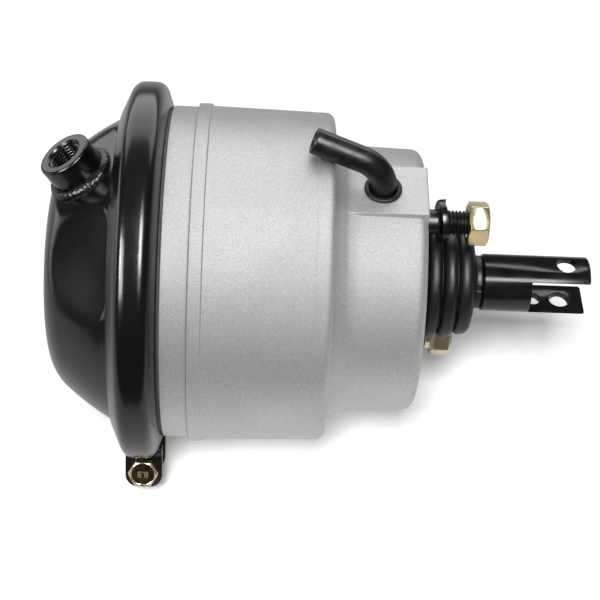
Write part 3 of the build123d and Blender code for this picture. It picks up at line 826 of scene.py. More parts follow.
TUBE_RUBBER = Finish(
    "moulded_rubber", (0.006, 0.006, 0.0065), (0.012, 0.012, 0.013), 0.0, 0.28, 0.40,
    drift_scale=140.0, mark_scale=160.0, grain_scale=1500.0, roll_scale=380.0, roll_share=0.5,
    relief=0.35, relief_depth=0.00018, fleck_scale=2400.0, fleck_share=0.35,
    fleck_colour=(0.05, 0.05, 0.05), fleck_strength=0.5, reflection=0.38,
)
FABRIC_RUBBER = Finish(
    "fabric_rubber", (0.015, 0.015, 0.016), (0.024, 0.024, 0.026), 0.0, 0.55, 0.7,
    grain_scale=1100.0, relief=0.5, relief_depth=0.0003,
)
YELLOW_ZINC = Finish(
    "yellow_zinc", (0.86, 0.70, 0.40), (0.80, 0.60, 0.30), 1.0, 0.16, 0.3,
    drift_scale=160.0, mark_scale=120.0, grain_scale=2600.0, roll_scale=600.0, roll_share=0.3,
    relief=0.08, relief_depth=0.0001,
    tint=((0.92, 0.78, 0.46), (0.80, 0.62, 0.34), (0.70, 0.78, 0.62), (0.88, 0.66, 0.56), (0.95, 0.86, 0.62)),
    tint_scale=75.0, tint_strength=0.45,
)
WHITE_ZINC = Finish(
    "white_zinc", (0.62, 0.63, 0.65), (0.54, 0.55, 0.57), 1.0, 0.25, 0.4,
    grain_scale=1800.0, relief=0.1,
)
BLACK_STEEL = Finish(
    "black_steel", (0.006, 0.006, 0.0065), (0.012, 0.012, 0.0125), 0.0, 0.16, 0.26,
    drift_scale=120.0, mark_scale=90.0, grain_scale=1700.0, roll_scale=420.0, roll_share=0.5,
    relief=0.12, relief_depth=0.00016,
)
THREAD_STEEL = Finish(
    "thread_steel", (0.035, 0.035, 0.037), (0.06, 0.058, 0.055), 0.85, 0.28, 0.4,
    drift_scale=200.0, mark_scale=400.0, grain_scale=2400.0, relief=0.15,
)
SPRING_STEEL = Finish(
    "spring_steel", (0.03, 0.03, 0.033), (0.05, 0.05, 0.052), 0.4, 0.3, 0.45, relief=0.1,
)
PLAIN_PLATE = Finish(
    "plain_plate", (0.42, 0.41, 0.39), (0.34, 0.33, 0.31), 1.0, 0.35, 0.55,
    grain_scale=900.0, relief=0.12,
)
# Painted shade: a dark brown metal colour for the floor of the bolt head's recess, much darker than the zinc
# round it.
RECESS_SHADE = Finish(
    "stamped_recess", (0.07, 0.055, 0.03), (0.035, 0.028, 0.016), 1.0, 0.3, 0.45,
    drift_scale=400.0, mark_scale=500.0, grain_scale=2600.0, relief=0.3,
)


STAMPED_MARK = Finish(
    "stamped_mark", (0.62, 0.50, 0.28), (0.45, 0.36, 0.2), 1.0, 0.25, 0.4,
    drift_scale=600.0, mark_scale=500.0, grain_scale=2600.0, relief=0.3,
)


class Paints:
    """Every material of the chamber, made once and shared."""

    def __init__(self) -> None:
        """Makes the shared effects and an empty shelf of materials."""
        self._effects = Effects()
        self._made: dict[str, bpy.types.Material] = {}

    def get(self, finish: Finish) -> bpy.types.Material:
        """The material of a finish."""
        if finish.name not in self._made:
            self._made[finish.name] = finish.made(self._effects)
        return self._made[finish.name]


@dataclass
class Shop:
    """Turns meshes into finished pieces on the frame."""

    paints: Paints
    thread: bpy.types.NodeTree = field(default_factory=thread_tree)
    coil: bpy.types.NodeTree = field(default_factory=coil_tree)
    bead: bpy.types.NodeTree = field(default_factory=bead_tree)

    def piece(
        self,
        name: str,
        mesh: bmesh.types.BMesh,
        finish: Finish,
        replaces: Sequence[str] = (),
        slot: str = "",
        body: Body = Body.CHAMBER,
        stretch: tuple[float, float] | None = None,
        sharp: float = 38.0,
    ) -> bpy.types.Object:
        """Makes a piece, dresses it and fixes it to its body, unless a stretch is given.

        Args:
            name: The piece's name.
            mesh: Its mesh in millimetres; it is used up.
            finish: Its finish.
            replaces: The frame's nodes that it stands for.
            slot: The record's material slot; not used.
            body: The body that carries it.
            stretch: X where it leaves the chamber and X where it follows the rod; when given, the piece is
                baked in place and fixed to no body, and the two values are not used otherwise.
            sharp: Edges that turn by more degrees than this stay sharp.

        Returns:
            The object.
        """
        bmesh.ops.scale(mesh, vec=(MM, MM, MM), verts=mesh.verts)
        block = bpy.data.meshes.new(name)
        for face in mesh.faces:
            face.smooth = True
        mesh.to_mesh(block)
        mesh.free()
        block.materials.clear()
        block.materials.append(self.paints.get(finish))
        block.set_sharp_from_angle(angle=math.radians(sharp))
        thing = bpy.data.objects.new(name, block)
        bpy.context.scene.collection.objects.link(thing)
        if stretch:
            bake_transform(thing)
        else:
            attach(thing, body.value)
        if replaces:
            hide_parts(*replaces)
        log.info("%s: %d faces", name, len(block.polygons))
        return thing

    def dress(self, node: bpy.types.Object, finish: Finish) -> None:
        """Gives one of the frame's own nodes a finish."""
        node.data.materials.clear()
        node.data.materials.append(self.paints.get(finish))
        log.info("%s keeps its frame mesh", node.name)


# ---------------------------------------------------------------- the clamp's V joint
@dataclass(frozen=True)
class ClampProfile:
    """The clamp band's section, which the flanges under it also follow."""

    centre: float = -130.9
    crown: float = 91.5
    width: float = 13.2
    sheet: float = 3.0
    front_angle: float = 18.0
    rear_angle: float = 24.0
    front_foot: float = 80.0
    rear_foot: float = 78.0
    slip: float = 0.1

    def flank(self, radius: float, side: int, depth: float = 0.0) -> float:
        """X of a flank at a radius, that far below its outer face.

        Args:
            radius: Distance from the chamber's axis.
            side: 1 for the housing's side, -1 for the cover's side.
            depth: How far below the outer face.

        Returns:
            The X position.
        """
        angle = math.radians(self.front_angle if side > 0 else self.rear_angle)
        outer = self.centre + side * self.width / 2
        return outer + side * ((self.crown - radius) * math.tan(angle) - depth / math.cos(angle))


CLAMP = ClampProfile()


# ---------------------------------------------------------------- housing
@dataclass
class Housing:
    """The cast housing: two stepped drums, a rib, a groove, a flange and the breather's pad."""

    breather: Breather
    flange_face: float = -128.9
    flange_radius: float = 87.4
    main_radius: float = 79.8
    main_end: float = 81.0
    collar: float = 80.4
    rib: tuple[float, float] = (-107.7, -101.2)
    rib_height: float = 1.1
    groove: tuple[float, float] = (-121.5, -119.6)
    groove_depth: float = 2.3
    step: float = -42.6
    shoulder: float = 7.0
    neck: float = 69.6
    nose: float = 63.5
    nose_end: float = -31.6
    nose_round: float = 5.0
    wall: float = 4.6
    front_wall: float = 9.0
    opening: float = 20.0
    recess: Point = (3.4, 30.5)
    pad_angle: float = 7.0
    pad_height: float = 64.2
    pad_width: float = 30.0
    pad_edge: float = 0.8
    crease: float = -51.2
    longest: float = 2.6

    def outline(self) -> list[Point]:
        """The wall's section, outside and inside."""
        draft = self.nose + 0.9
        bore = self.main_end - self.wall
        boss = self.opening + 2.6
        line = Outline()
        line.to(-self.recess[0], self.opening, 0.3).to(-self.recess[0], self.recess[1], 0.5)
        line.to(0, self.recess[1], 0.5).to(0, self.nose, self.nose_round)
        line.to(self.nose_end, draft, 14.0).to(-36.8, 66.0, 9.0).to(self.step, self.neck, 0.9)
        line.to(self.step, self.main_radius - 0.15, self.shoulder)
        line.to(self.crease + 0.45, self.main_radius + 0.02, 0.2).to(self.crease, self.main_radius - 0.16)
        line.to(self.crease - 0.45, self.main_radius + 0.06, 0.2)
        line.to(self.rib[1], self.main_end, 0.35).to(self.rib[1] - 0.3, self.main_end + self.rib_height, 0.45)
        line.to(self.rib[0] + 0.3, self.main_end + self.rib_height, 0.45).to(self.rib[0], self.collar, 0.35)
        line.to(self.groove[1], self.collar, 0.5)
        line.to(self.groove[1] - 0.7, self.collar - self.groove_depth, 0.7)
        low = self.collar - self.groove_depth
        depth = CLAMP.sheet + CLAMP.slip
        line.to(CLAMP.flank(low, 1, depth), low, 0.8)
        line.to(CLAMP.flank(self.flange_radius, 1, depth), self.flange_radius, 0.5)
        line.to(self.flange_face, self.flange_radius, 0.5).to(self.flange_face, bore, 0.8)
        line.to(-50.6, self.main_radius - self.wall, 4.0).to(-37.0, self.neck - self.wall - 3.0, 4.0)
        line.to(-self.front_wall, self.nose - self.wall, 3.0).to(-self.front_wall, boss, 1.0)
        line.to(-self.front_wall - 6.0, boss, 0.8).to(-self.front_wall - 6.0, self.opening, 0.8)
        return line.points(self.longest)

    def shape(self, x: float, radius: float, angle: float) -> Point:
        """Raises the flat pad out of the nose.

        Args:
            x: Position along the axis.
            radius: Radius without the pad.
            angle: Clock angle in radians.

        Returns:
            The changed position and radius.
        """
        away = (angle - math.radians(self.pad_angle) + math.pi) % FULL_TURN - math.pi
        inside = x < -self.nose_round - 0.1 and radius < self.nose - 0.5
        if abs(away) > 0.5 or x < -46 or radius < 50 or inside:
            return x, radius
        across = abs(math.tan(away)) * self.pad_height
        half = self.pad_width / 2
        mask = 1 - smooth_step(half - 0.35, half + 0.75, across)
        if mask <= 0:
            return x, radius
        top = self.pad_height / math.cos(away)
        edge_start = -self.nose_round - 7.0
        if x > -self.nose_round:
            share = (x + self.nose_round) / self.nose_round
            new_x = -self.pad_edge * (1 - share)
            if x > -0.01:
                new_x = x
                grown = (radius - 50) / (self.nose - self.nose_round - 50)
                new_radius = 50 + min(grown, 1) * (top - self.pad_edge - 50)
            else:
                rise = (radius - (self.nose - self.nose_round)) / self.nose_round
                new_radius = top - self.pad_edge * (1 - rise)
        elif x > edge_start:
            share = (x - edge_start) / (-self.nose_round - edge_start)
            new_x = edge_start + share * (-self.pad_edge - edge_start)
            new_radius = top
        else:
            new_x = x
            new_radius = top if x > self.nose_end + 2 else soft_max(top, radius, 0.8)
        return x + (new_x - x) * mask, radius + (new_radius - radius) * mask

    def turns(self) -> list[float]:
        """Clock angles that crowd where the pad's sides stand."""
        half = math.degrees(math.atan((self.pad_width / 2 + 0.2) / self.pad_height))
        even = [k * 1.2 for k in range(300)]
        crowd = [
            self.pad_angle + side * half + k * 0.14
            for side in (-1, 1) for k in range(-6, 7)
        ]
        near = [a % 360 for a in crowd]
        kept = [a for a in even if all(abs((a - n + 180) % 360 - 180) > 0.3 for n in near)]
        return [math.radians(a) for a in sorted(kept + near)]

    def build(self, shop: Shop) -> bpy.types.Object:
        """Makes the housing and returns it."""
        mesh = spun(self.outline(), turns=self.turns(), shape=self.shape)
        mesh = cut_away(mesh, self.breather.hole())
        return shop.piece("housing_casting", mesh, CAST, ["housing"], "cast_aluminium", sharp=50.0)


# ---------------------------------------------------------------- pressed cover and air port
@dataclass
class Port:
    """The leaning threaded boss, its weld bead and the place where both stand."""

    lean: float = 31.0
    root: Point = (-160.1, 59.5)
    radius: float = 12.8
    length: float = 14.0
    hole: float = 7.25
    thread_depth: float = 0.8
    pitch: float = 1.5
    mouth: float = 8.7
    weld_leg: float = 3.0

    def plane(self, angle: float, depth: float = 0.0) -> Matrix:
        """The place of a flat at a clock angle: X points out of it, Z towards the housing.

        Args:
            angle: Clock angle in degrees.
            depth: How far the place is sunk.

        Returns:
            The matrix of the place.
        """
        lean = math.radians(self.lean)
        outward = clock(angle, math.cos(lean)) + Vector((-math.sin(lean), 0, 0))
        along = Vector((math.cos(lean), 0, 0)) + clock(angle, math.sin(lean))
        root = Vector((self.root[0], 0, 0)) + clock(angle, self.root[1])
        return placed(root - outward * depth, outward, along)

    def outline(self) -> list[Point]:
        """The boss's section: (distance along its axis, radius)."""
        line = Outline()
        line.to(0, self.radius).to(self.length, self.radius, 1.2)
        line.to(self.length, self.mouth, 0.35).to(self.length - 1.0, self.hole + self.thread_depth, 0.1)
        line.to(0, self.hole + self.thread_depth)
        return line.points(self.pitch / 9)

    def cut(self, x: float, radius: float, angle: float) -> Point:
        """Cuts the inner thread."""
        if radius > self.hole + self.thread_depth + 0.01 or x > self.length - 0.9:
            return x, radius
        phase = (x / self.pitch - angle / FULL_TURN) % 1.0
        crest = smooth_step(0.3, 0.95, 1 - abs(2 * phase - 1))
        fade = smooth_step(0.0, 0.8, self.length - 0.9 - x)
        return x, radius - self.thread_depth * crest * fade

    def build(self, shop: Shop) -> None:
        """Makes the boss and the weld bead."""
        place = self.plane(0.0)
        boss = spun(self.outline(), 96, shape=self.cut)
        shop.piece("port_boss_threaded", moved(boss, place), ENAMEL, ["port_boss"], "black_enamel",
                   sharp=48.0)
        bead = grown(shop.bead, radius=(self.radius - 0.3) * MM, leg=(self.weld_leg + 0.1) * MM)
        shop.piece("port_weld_bead", moved(capped(bead), place), WELD_ENAMEL, ["port_weld"], "black_enamel")


@dataclass
class Cover:
    """The pressed cover with its ridge, its shallow dish and its two leaning flats."""

    port: Port
    sheet: float = 3.0
    dish_x: float = -172.7
    dish_radius: float = 16.0
    ridge_x: float = -175.7
    ridge_radius: float = 36.0
    bends: tuple[Point, ...] = ((8.5, 57.7), (17.6, 64.9), (29.6, 72.6))
    lean: float = 36.0
    seats: tuple[float, ...] = (0.0, 45.0)
    seat_size: Point = (48.0, 54.0)
    seat_lead: float = 20.0
    seat_corner: float = 10.0
    seat_taper: float = 25.0
    soft: float = 1.6
    flange_radius: float = 87.4
    segments: int = 400

    def side(self, inset: float) -> Outline:
        """The outer face, or the inner face with the sheet's thickness as inset."""
        foot = CLAMP.rear_foot - 1.8 - inset * 0.4
        lean = math.radians(self.lean)
        shift = Vector((inset * math.sin(lean), -inset * math.cos(lean)))
        top, middle, bottom = (
            Vector((self.ridge_x + x, r)) + shift for x, r in self.bends
        )
        depth = CLAMP.sheet + CLAMP.slip + inset
        line = Outline()
        line.to(self.dish_x + inset, 0).to(self.dish_x + inset, self.dish_radius, 14.0)
        line.to(self.ridge_x + inset, self.ridge_radius - 2.0, 14.0)
        line.to(self.ridge_x + inset, self.ridge_radius + 1.5)
        shoulder = (self.ridge_x + 2.4 + inset * 0.81, 49.4 - inset * 0.59)
        line.arc(shoulder, tuple(top), 14).arc(tuple(middle), tuple(bottom), 12)
        line.to(CLAMP.flank(foot, -1, depth) - 0.4, foot - 0.6, 2.4)
        line.to(CLAMP.flank(self.flange_radius, -1, depth), self.flange_radius)
        return line

    def pressed(self, mesh: bmesh.types.BMesh, inner: float) -> bmesh.types.BMesh:
        """Presses the leaning flats into one face of the sheet.

        Args:
            mesh: The face, turned about the axis.
            inner: How far the face lies below the outer one.

        Returns:
            The same mesh.
        """
        slope = math.tan(math.radians(self.seat_taper))
        half_long, half_wide = (size / 2 - self.seat_corner for size in self.seat_size)
        for angle in self.seats:
            place = self.port.plane(angle)
            back = place.inverted()
            for vert in mesh.verts:
                spot = back @ vert.co
                rise = spot.x + inner
                if rise <= -self.soft:
                    continue
                du = abs(spot.z - self.seat_lead + self.seat_size[0] / 2) - half_long
                dv = abs(spot.y) - half_wide
                away = math.hypot(max(du, 0), max(dv, 0)) + min(max(du, dv), 0) - self.seat_corner - inner
                wall = soft_max(away / slope, 0.0, self.soft * 1.6)
                spot.x -= rise - soft_min(rise, wall, self.soft)
                vert.co = place @ spot
        return mesh

    def build(self, shop: Shop) -> None:
        """Makes the cover, with the port's hole through it."""
        outer = spun(self.side(0).points(1.15, closed=False), self.segments, closed=False)
        inner = spun(self.side(self.sheet).points(3.0, closed=False), self.segments, closed=False)
        shell = bridged(joined(self.pressed(outer, 0.0), self.pressed(inner, self.sheet)))
        drill = spun([(-8, 0), (-8, self.port.hole), (2, self.port.hole), (2, 0)], 64, closed=False)
        shell = cut_away(shell, moved(drill, self.port.plane(0.0)))
        shop.piece("pressed_cover", shell, ENAMEL, ["pressure_cover"], "black_enamel", sharp=50.0)


# ---------------------------------------------------------------- hexagons
@dataclass
class Hexagon:
    """A nut or a bolt's head along X, from X = 0, with turned corners and rounded edges."""

    flats: float
    height: float
    inside: tuple[tuple[float, float, float], ...]
    corner: float = 0.0
    face: float = 0.955
    turned: float = 30.0
    rounding: float = 0.55

    def reach(self, angle: float) -> float:
        """Distance of the hexagon's side at an angle in radians from its first corner."""
        away = abs((angle + math.pi / 6) % (math.pi / 3) - math.pi / 6)
        corner = self.flats / math.sqrt(3)
        centre = corner - self.rounding / math.sin(math.pi / 3)
        edge = math.atan2(self.rounding * 0.5, centre + self.rounding * math.cos(math.pi / 6))
        if away < edge:
            return centre * math.cos(away) + math.sqrt(self.rounding ** 2 - (centre * math.sin(away)) ** 2)
        return self.flats / 2 / math.cos(math.pi / 6 - away)

    def mesh(self) -> bmesh.types.BMesh:
        """The hexagon's mesh."""
        rim = self.flats / 2 * self.face
        drop = math.tan(math.radians(self.turned))
        start = math.radians(self.corner)

        def shape(x: float, radius: float, angle: float) -> Point:
            """Carries the two marked rings to the hexagon's sides."""
            if radius < self.flats:
                return x, radius
            reach = self.reach(angle - start)
            fall = (reach - rim) * drop
            return (fall, reach) if x < self.height / 2 else (self.height - fall, reach)

        outline = Outline([(0, rim, 0), (0.3, self.flats, 0), (self.height - 0.3, self.flats, 0),
                           (self.height, rim, 0), *self.inside])
        edge = (-3.0, -2.2, -1.4, -0.7, 0.0, 0.7, 1.4, 2.2, 3.0)
        plain = (6, 10, 15, 20, 25, 30, 35, 40, 45, 50, 54)
        turns = [
            start + math.radians(60 * side + step) for side in range(6) for step in (*edge, *plain)
        ]
        closed = self.inside[-1][1] > 0
        points = outline.points(closed=closed)
        if not closed:
            points = [(0.0, 0.0), *points]
        return spun(points, turns=turns, shape=shape, closed=closed)


# ---------------------------------------------------------------- clamp
@dataclass
class Clamp:
    """The two-flanked clamp band, its lugs, and the bolt that draws them together."""

    corner: float = 5.8
    inner_corner: float = 3.2
    turn: float = 153.4
    half_gap: float = 9.0
    gap_radius: float = 88.0
    steps: int = 300
    lug_width: float = 18.4
    lug_sheet: float = 4.0
    lug_start: float = 89.4
    lug_end: float = 110.0
    lug_corner: float = 6.2
    lug_fillet: float = 3.2
    bolt_seat: float = 101.0
    bolt_radius: float = 4.0
    head: Point = (13.0, 5.3)
    nut: Point = (13.0, 6.5)
    washer: Point = (8.0, 1.6)
    overhang: float = 4.0
    pitch: float = 1.25
    recess: Point = (6.0, 0.75)
    mark: str = "8.8"
    mark_size: float = 4.6
    mark_height: float = 0.28

    def section(self) -> list[Point]:
        """The band's section: a broad crown between two flanks."""
        c = CLAMP
        line = Outline()
        line.to(c.flank(c.rear_foot, -1), c.rear_foot, 0.6)
        line.to(c.flank(c.crown, -1), c.crown, self.corner).to(c.flank(c.crown, 1), c.crown, self.corner)
        line.to(c.flank(c.front_foot, 1), c.front_foot, 0.6)
        line.to(c.flank(c.front_foot - 1.1, 1, c.sheet), c.front_foot - 1.1, 0.6)
        under = c.crown - c.sheet
        line.to(c.flank(under, 1, c.sheet), under, self.inner_corner)
        line.to(c.flank(under, -1, c.sheet), under, self.inner_corner)
        line.to(c.flank(c.rear_foot - 1.2, -1, c.sheet), c.rear_foot - 1.2, 0.6)
        return line.points(4.0)

    def band(self) -> bmesh.types.BMesh:
        """The band, open at the lugs."""
        gap = math.asin(self.half_gap / self.gap_radius)
        middle = math.radians(self.turn)
        sweep = FULL_TURN - 2 * gap
        turns = [middle + gap + sweep * k / self.steps for k in range(self.steps + 1)]
        return spun(self.section(), turns=turns, open_turn=True)

    def lug(self, side: int) -> bmesh.types.BMesh:
        """One lug, with the round that joins it to the crown.

        Args:
            side: 1 or -1, for the two ends of the band.

        Returns:
            The mesh.
        """
        near, far = self.half_gap, self.half_gap + self.lug_sheet
        crown = math.sqrt(CLAMP.crown ** 2 - far ** 2) - 0.25
        bend = self.lug_fillet
        foot = math.sqrt(CLAMP.crown ** 2 - (far + bend) ** 2) - 0.3
        corners = [(near, self.lug_start - 1.5), (near, self.lug_end), (far, self.lug_end)]
        steps = 8
        for k in range(steps + 1):
            share = k / steps * math.pi / 2
            rise = crown + bend + (foot - crown) * math.sin(share) ** 2
            corners.append((far + bend * (1 - math.cos(share)), rise - bend * math.sin(share)))
        corners.append((far + bend, foot - 2.0))
        mesh = bmesh.new()
        half = self.lug_width / 2
        face = mesh.faces.new([mesh.verts.new((-half, y * side, z)) for y, z in corners])
        raised = bmesh.ops.extrude_face_region(mesh, geom=[face])["geom"]
        bmesh.ops.translate(
            mesh, verts=[v for v in raised if isinstance(v, bmesh.types.BMVert)], vec=(self.lug_width, 0, 0)
        )
        tips = [
            e for e in mesh.edges
            if all(abs(v.co.z - self.lug_end) < 1e-4 for v in e.verts)
            and abs(e.verts[0].co.x - e.verts[1].co.x) < 1e-4
        ]
        bmesh.ops.bevel(mesh, geom=tips, offset=self.lug_corner, segments=9, profile=0.5, affect="EDGES")
        bmesh.ops.recalc_face_normals(mesh, faces=mesh.faces)
        return moved(softened(mesh, 0.45, 3), self.lug_place())

    def lug_place(self) -> Matrix:
        """X across the band, Y along the bolt, Z out of the crown."""
        place = placed(Vector((CLAMP.centre, 0, 0)), Vector((1, 0, 0)), clock(self.turn, 1.0))
        return place

    def bolt_place(self) -> Matrix:
        """X along the bolt towards its nut, from the seat of its head."""
        out, along = clock(self.turn, 1.0), clock(self.turn + 90, 1.0)
        seat = Vector((CLAMP.centre, 0, 0)) + out * self.bolt_seat - along * (self.half_gap + self.lug_sheet)
        return placed(seat, along, out)

    def lettering(self) -> bmesh.types.BMesh:
        """The raised strength mark on the bolt's head."""
        text = bpy.data.curves.new("mark", "FONT")
        text.body = self.mark
        text.size = self.mark_size
        text.extrude = self.mark_height
        text.bevel_depth = 0.06
        text.resolution_u = 3
        text.align_x = "CENTER"
        text.align_y = "CENTER"
        thing = bpy.data.objects.new("mark", text)
        bpy.context.scene.collection.objects.link(thing)
        bpy.context.view_layer.update()
        flat = bpy.data.meshes.new_from_object(thing.evaluated_get(bpy.context.evaluated_depsgraph_get()))
        mesh = bmesh.new()
        mesh.from_mesh(flat)
        bpy.data.objects.remove(thing)
        bpy.data.meshes.remove(flat)
        bmesh.ops.remove_doubles(mesh, verts=mesh.verts, dist=1e-4)
        return mesh

    def bolt(self, shop: Shop) -> None:
        """Makes the bolt, its mark, the nut and the washer."""
        place = self.bolt_place()
        flats, height = self.head
        radius, depth = self.recess
        floor = height - depth
        head = Hexagon(flats, height, ((height, radius + 0.35, 0.15), (floor + 0.25, radius, 0.2),
                                       (floor, radius - 0.3, 0.2), (floor, 0.0, 0.0)), corner=30.0)
        flip = placed(Vector((0, 0, 0)), Vector((-1, 0, 0)), Vector((0, 0, 1)))
        shank_end = 2 * (self.half_gap + self.lug_sheet) + self.washer[1] + self.nut[1] + self.overhang
        shank = spun([(0, 0), (0, self.bolt_radius), (14.0, self.bolt_radius), (14.0, 0)], 48, closed=False)
        thread = grown(
            shop.thread, length=(shank_end - 13.5) * MM, radius=(self.bolt_radius - 0.05) * MM,
            pitch=self.pitch * MM, depth=0.68 * MM, point=0.8 * MM,
            rings=int((shank_end - 13.5) / self.pitch * 10),
            segments=48,
        )
        thread = moved(capped(thread), Matrix.Translation((13.5, 0, 0)))
        body = joined(moved(softened(head.mesh(), 0.1, 1), flip), shank, thread)
        bolt = shop.piece("clamp_bolt_body", moved(body, place), YELLOW_ZINC, ["clamp_bolt"], "yellow_zinc")
        face = placed(Vector((-floor - self.mark_height * 0.4, 0, 0)), Vector((-1, 0, 0)), Vector((0, 0, 1)))
        upright = face @ FLAT_TO_FACE
        shop.piece("clamp_bolt_mark", moved(self.lettering(), place @ upright), STAMPED_MARK,
                   slot="yellow_zinc")
        # A thin disc on the floor of the head's recess whose dark colour paints shade into the recess.
        recess_shade_disc = spun([(0, 0), (0, radius - 0.35), (0.05, radius - 0.35), (0.05, 0)], 48, closed=False)
        shop.piece("clamp_bolt_recess", moved(recess_shade_disc, place @ face @ Matrix.Translation((-0.13, 0, 0))),
                   RECESS_SHADE, slot="yellow_zinc")
        sink = self.bolt_radius + 0.7
        bore = self.bolt_radius
        nut_x = 2 * (self.half_gap + self.lug_sheet) + self.washer[1]
        nut = Hexagon(self.nut[0], self.nut[1], ((self.nut[1], sink, 0.0), (self.nut[1] - 0.7, bore, 0.0),
                                                 (0.7, bore, 0.0), (0.0, sink, 0.0)), corner=30.0)
        seated = place @ Matrix.Translation((nut_x, 0, 0))
        shop.piece("clamp_nut_body", moved(softened(nut.mesh(), 0.1, 1), seated),
                   YELLOW_ZINC, ["clamp_nut"], "yellow_zinc")
        washer = Outline().to(0, bore + 0.4, 0.1).to(0, self.washer[0], 0.25)
        washer.to(self.washer[1], self.washer[0], 0.3).to(self.washer[1], bore + 0.4, 0.1)
        shop.piece(
            "clamp_washer_plain",
            moved(spun(washer.points(), 72), place @ Matrix.Translation((nut_x - self.washer[1], 0, 0))),
            YELLOW_ZINC, ["clamp_washer"], "yellow_zinc",
        )

    def build(self, shop: Shop) -> None:
        """Makes the whole clamp."""
        band = joined(softened(self.band(), 0.35, 2, 50.0), self.lug(1), self.lug(-1))
        shop.piece("clamp_band_pressed", band, ENAMEL, ["clamp_band"], "black_enamel", sharp=42.0)
        self.bolt(shop)


# ---------------------------------------------------------------- studs, nuts and lock washer
@dataclass
class Studs:
    """The two mounting studs with their nuts and the loose split washer."""

    seat: float = 38.1
    press_radius: float = 6.9
    shank_radius: float = 6.0
    thread_radius: float = 5.9
    shank: float = 6.5
    pitch: float = 1.75
    thread_depth: float = 0.95
    point: float = 1.1
    upper_end: float = 31.5
    lower_end: float = 22.0
    wall: float = 9.0
    head: Point = (9.0, 5.0)
    nut_flats: float = 19.0
    nut_height: float = 10.0
    upper_nut: Point = (21.0, 3.7)
    lower_nut: Point = (11.0, 30.3)
    collar: Point = (7.2, 2.6)
    washer_bore: float = 6.37
    washer_radius: float = 10.2
    washer_x: float = 7.1
    washer_thickness: float = 3.2
    washer_lift: float = 0.45
    washer_lean: float = 9.0
    washer_rise: float = 0.45
    split_turn: float = -30.0
    split_half: float = 6.5

    def stud(self, shop: Shop, name: str, node: str, side: int, end: float) -> None:
        """Makes one stud.

        Args:
            shop: Where pieces are made.
            name: The piece's name.
            node: The node that it replaces.
            side: 1 above the rod, -1 below it.
            end: X of its open end.
        """
        place = Matrix.Translation((0, 0, side * self.seat))
        line = Outline().to(-self.wall - self.head[1], 0).to(-self.wall - self.head[1], self.head[0], 0.8)
        line.to(-self.wall, self.head[0], 0.3).to(-self.wall, self.press_radius)
        line.to(-0.15, self.press_radius, 0.3).to(-0.15, self.shank_radius)
        line.to(self.shank + 0.5, self.shank_radius, 0.6).to(self.shank + 1.4, self.thread_radius - 0.9)
        line.to(self.shank + 1.4, 0)
        solid = spun(line.points(closed=False), 72, closed=False)
        length = end - self.shank
        thread = grown(
            shop.thread, length=length * MM, radius=self.thread_radius * MM, pitch=self.pitch * MM,
            depth=self.thread_depth * MM, point=self.point * MM,
            rings=int(length / self.pitch * 16), segments=84,
        )
        thread = moved(capped(thread), Matrix.Translation((self.shank, 0, 0)))
        shop.piece(name, moved(joined(solid, thread), place), THREAD_STEEL, [node], "black_steel", sharp=55.0)

    def nut(self, shop: Shop, name: str, node: str, side: int, spot: Point, collar: bool) -> None:
        """Makes one nut.

        Args:
            shop: Where pieces are made.
            name: The piece's name.
            node: The node that it replaces.
            side: 1 above the rod, -1 below it.
            spot: X of its near face and the clock angle of a corner.
            collar: Whether a turned collar stands on its near face.
        """
        bore = self.thread_radius - 0.35
        sink = bore + 1.1
        high = self.nut_height
        inside = [(high, sink, 0.0), (high - 1.0, bore, 0.0), (1.0, bore, 0.0)]
        if collar:
            inside += [(-self.collar[1], bore, 0.0), (-self.collar[1], self.collar[0], 0.5),
                       (0.0, self.collar[0], 0.3)]
        else:
            inside += [(0.0, sink, 0.0)]
        body = Hexagon(self.nut_flats, high, tuple(inside), corner=spot[1], face=0.94, rounding=0.7)
        place = Matrix.Translation((spot[0], 0, side * self.seat))
        shop.piece(name, moved(softened(body.mesh(), 0.14, 1), place), YELLOW_ZINC, [node], "yellow_zinc")

    def lock_washer(self, shop: Shop) -> None:
        """Makes the split washer: a square coil whose ends stand apart."""
        wide = (self.washer_radius - self.washer_bore) / 2
        middle = (self.washer_radius + self.washer_bore) / 2
        half = self.washer_thickness / 2
        ring = Outline().to(-wide, -half + 0.12, 0.35).to(-wide, half - 0.12, 0.35)
        ring.to(wide, half, 0.3).to(wide, -half, 0.3)
        section = ring.points()
        mesh = bmesh.new()
        rings = []
        steps = 120
        start = self.split_turn + self.split_half
        sweep = 360 - 2 * self.split_half
        for k in range(steps + 1):
            share = k / steps
            rise = self.washer_rise * (share - 0.5) * 2
            tang = 0.55 * smooth_step(0.965, 1.0, share)
            angle = start + sweep * share
            ring_verts = []
            for u, x in section:
                grown_out = tang * smooth_step(-wide, wide, u)
                spot = clock(angle, middle + u + grown_out * 0.6)
                spot.x = x + rise + grown_out
                ring_verts.append(mesh.verts.new(spot))
            rings.append(ring_verts)
        for a, b in zip(rings, rings[1:]):
            for j in range(len(section)):
                k = (j + 1) % len(section)
                mesh.faces.new((a[j], a[k], b[k], b[j]))
        mesh.faces.new(reversed(rings[0]))
        mesh.faces.new(rings[-1])
        bmesh.ops.recalc_face_normals(mesh, faces=mesh.faces)
        spot = (self.washer_x + half + self.washer_rise, 0, self.seat + self.washer_lift)
        place = Matrix.Translation(spot) @ Matrix.Rotation(math.radians(self.washer_lean), 4, "Z")
        shop.piece("lock_washer_split", moved(mesh, place), BLACK_STEEL, ["lock_washer"], "black_steel")

    def build(self, shop: Shop) -> None:
        """Makes everything on the two studs."""
        self.stud(shop, "upper_stud_threaded", "upper_stud", 1, self.upper_end)
        self.stud(shop, "lower_stud_threaded", "lower_stud", -1, self.lower_end)
        self.nut(shop, "upper_nut", "upper_stud_nut", 1, self.upper_nut, False)
        self.nut(shop, "lower_nut", "lower_stud_nut", -1, self.lower_nut, True)
        self.lock_washer(shop)


